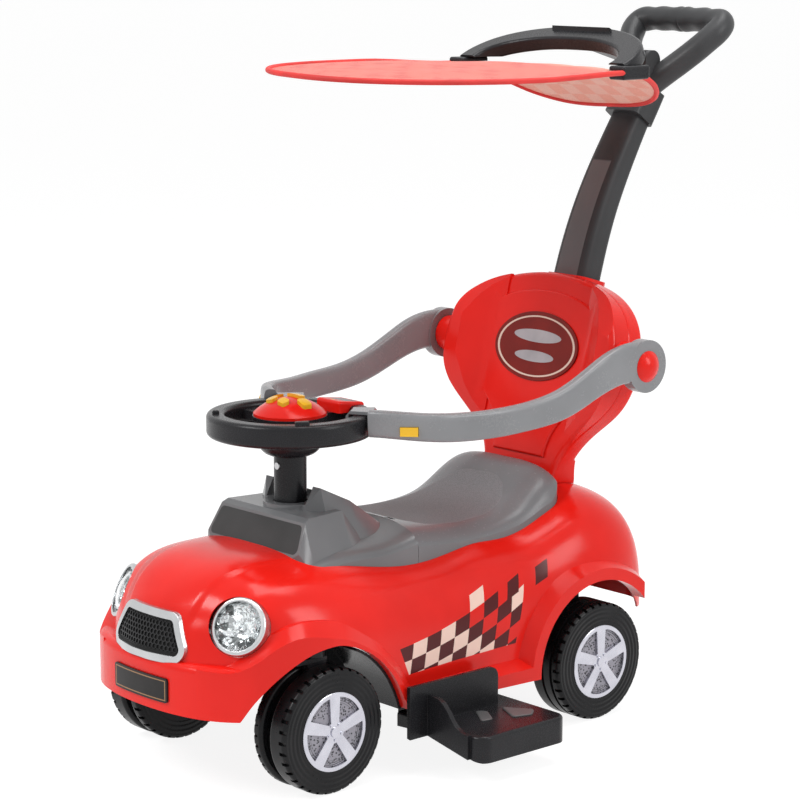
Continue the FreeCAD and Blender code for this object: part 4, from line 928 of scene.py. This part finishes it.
class CAR_OT_canopy(bpy.types.Operator):
    """Makes the canopy's sheet of cloth and the binding round its hoop"""
    bl_idname = "car.canopy"
    bl_label = "Canopy"

    def execute(self, context):
        around, rings = CLOTH_AROUND, CLOTH_RINGS
        points, faces = [place(0, CANOPY_MID, 0)], []
        for r in range(1, rings + 1):
            for k in range(around):
                x, y = canopy_edge(2 * math.pi * k / around, r / rings)
                points.append(place(x, y, 0))
        crown = sizes().cloth_crown
        for p in points:
            y = (p.y - MID_Y) * 1000
            across = p.x * 1000 / CANOPY_HALF
            along = (y - CANOPY_MID) / (CANOPY_REAR - CANOPY_MID)
            inner = max(0.0, 1 - across ** 2 - along ** 2)
            wave = math.sin(9 * across + 5 * along) * math.sin(7 * along - 4 * across) * WAVE_HEIGHT
            p.z = canopy_height(y) / 1000 + crown * inner + wave * inner ** 0.5 + ROLL_HEIGHT * canopy_roll(y) * across
        for k in range(around):
            faces.append((0, 1 + k, 1 + (k + 1) % around))
        for r in range(1, rings):
            for k in range(around):
                n = (k + 1) % around
                a, b = 1 + (r - 1) * around, 1 + r * around
                faces.append((a + k, b + k, b + n, a + n))
        sheet = mesh_piece("canopy_sheet", points, [f[::-1] for f in faces])
        smooth(thicken(sheet, sizes().cloth_thick, 0), 60)
        dress(sheet, "canopy", "red_fabric", finish_for("red_fabric"), "canopy_fabric")
        binding = smooth(closed_tube("canopy_binding", points[-around:], sizes().hem), 60)
        dress(binding, "canopy", "red_trim", finish_for("red_trim"), "canopy_hoop")
        return {"FINISHED"}


FLOOR_SIZE, FLOOR_GLOW, FLOOR_SHARE = 400, 1.23, 0.72
WORLD_LIGHT, WORLD_SEEN = 0.36, 1.0
LIGHT_AIM = Vector((0, 0, 0.35))
SOFTBOXES = (
    ("key_softbox", (-0.6, -2.6, 2.7), (1.4, 1.0), 58),
    ("side_softbox", (2.7, 0.9, 1.7), (1.0, 1.5), 30),
    ("top_softbox", (0.2, 0.5, 3.0), (1.6, 1.6), 44),
)
CAMERA_PLACE, CAMERA_TURN, CAMERA_TILT, CAMERA_LENS = (2224.6, -1945.3, 927.9), 48.3733, 10.3835, 117.47


def seen_rays(tree):
    """Socket that is 1 for what the camera sees, also in mirrors and through glass, else 0."""
    path = tree.nodes.new("ShaderNodeLightPath")
    seen = path.outputs["Is Camera Ray"]
    for ray in ("Is Glossy Ray", "Is Transmission Ray"):
        either = tree.nodes.new("ShaderNodeMath")
        either.operation = "MAXIMUM"
        tree.links.new(seen, either.inputs[0])
        tree.links.new(path.outputs[ray], either.inputs[1])
        seen = either.outputs[0]
    return seen


class CAR_OT_stage(bpy.types.Operator):
    """Sets the pale floor, the studio lights and the camera"""
    bl_idname = "car.stage"
    bl_label = "Stage"

    def execute(self, context):
        self.lay_floor()
        self.light_world(context.scene)
        for softbox in SOFTBOXES:
            self.hang(context.scene, *softbox)
        self.set_camera(context.scene)
        context.scene.view_settings.view_transform = "Standard"
        return {"FINISHED"}

    def lay_floor(self):
        clear_selection()
        bpy.ops.mesh.primitive_plane_add(size=FLOOR_SIZE)
        floor = bpy.context.object
        floor.name = floor.data.name = "studio_floor"
        pale = Finish("studio_white", Roughness=0.9, Specular_IOR_Level=0.1)
        cloud = pale.noise(0.7)
        pale.feed(Base_Color=pale.mix(cloud, (0.92, 0.92, 0.92), (0.95, 0.95, 0.95)))
        pale.paint(floor)
        tree = pale.tree
        glow = pale.node("ShaderNodeEmission", {}, {"Color": (1, 1, 1, 1), "Strength": FLOOR_GLOW})
        mixed = tree.nodes.new("ShaderNodeMixShader")
        tree.links.new((Number(pale, seen_rays(tree)) * FLOOR_SHARE).socket, mixed.inputs[0])
        tree.links.new(pale.shader.outputs[0], mixed.inputs[1])
        tree.links.new(glow.socket, mixed.inputs[2])
        tree.links.new(mixed.outputs[0], tree.nodes["Material Output"].inputs["Surface"])

    def light_world(self, scene):
        world = bpy.data.worlds.new("studio")
        scene.world = world
        world.use_nodes = True
        tree = world.node_tree
        back = tree.nodes["Background"]
        back.inputs["Color"].default_value = (1, 1, 1, 1)
        level = tree.nodes.new("ShaderNodeMapRange")
        level.inputs["To Min"].default_value = WORLD_LIGHT
        level.inputs["To Max"].default_value = WORLD_SEEN
        tree.links.new(seen_rays(tree), level.inputs["Value"])
        tree.links.new(level.outputs[0], back.inputs["Strength"])

    def hang(self, scene, name, spot, size, power):
        light = bpy.data.lights.new(name, "AREA")
        light.shape = "RECTANGLE"
        light.size, light.size_y = size
        light.energy = power
        item = bpy.data.objects.new(name, light)
        scene.collection.objects.link(item)
        item.location = spot
        item.rotation_euler = (LIGHT_AIM - Vector(spot)).to_track_quat("-Z", "Y").to_euler()

    def set_camera(self, scene):
        turn, tilt = math.radians(CAMERA_TURN), math.radians(CAMERA_TILT)
        behind = Vector((math.sin(turn) * math.cos(tilt), -math.cos(turn) * math.cos(tilt), math.sin(tilt)))
        camera = bpy.data.cameras.new("photo_camera")
        camera.sensor_width = 36.0
        camera.lens = CAMERA_LENS
        camera.clip_end = 100.0
        eye = bpy.data.objects.new("photo_camera", camera)
        scene.collection.objects.link(eye)
        eye.location = place(*CAMERA_PLACE)
        eye.rotation_euler = (-behind).to_track_quat("-Z", "Y").to_euler()
        scene.camera = eye


class CAR_PT_panel(bpy.types.Panel):
    """Lists the car's colours, sizes and operators"""
    bl_label = "Push car"
    bl_idname = "CAR_PT_panel"
    bl_space_type = "VIEW_3D"
    bl_region_type = "UI"
    bl_category = "Push car"

    def draw(self, context):
        for group in (context.scene.car_colours, context.scene.car_sizes):
            for key in group.__annotations__:
                self.layout.prop(group, key)
        for operator in OPERATORS:
            self.layout.operator(operator.bl_idname)


OPERATORS = (CAR_OT_finishes, CAR_OT_edges, CAR_OT_hub_bowl, CAR_OT_lamps, CAR_OT_grille, CAR_OT_treads,
             CAR_OT_canopy, CAR_OT_stage)
CLASSES = (CarColours, CarSizes, *OPERATORS, CAR_PT_panel)


def register():
    for item in CLASSES:
        bpy.utils.register_class(item)
    bpy.types.Scene.car_colours = bpy.props.PointerProperty(type=CarColours)
    bpy.types.Scene.car_sizes = bpy.props.PointerProperty(type=CarSizes)


def unregister():
    del bpy.types.Scene.car_sizes
    del bpy.types.Scene.car_colours
    for item in reversed(CLASSES):
        bpy.utils.unregister_class(item)


def main():
    register()
    for operator in OPERATORS:
        group, name = operator.bl_idname.split(".")
        getattr(getattr(bpy.ops, group), name)()


if __name__ == "__main__":
    main()
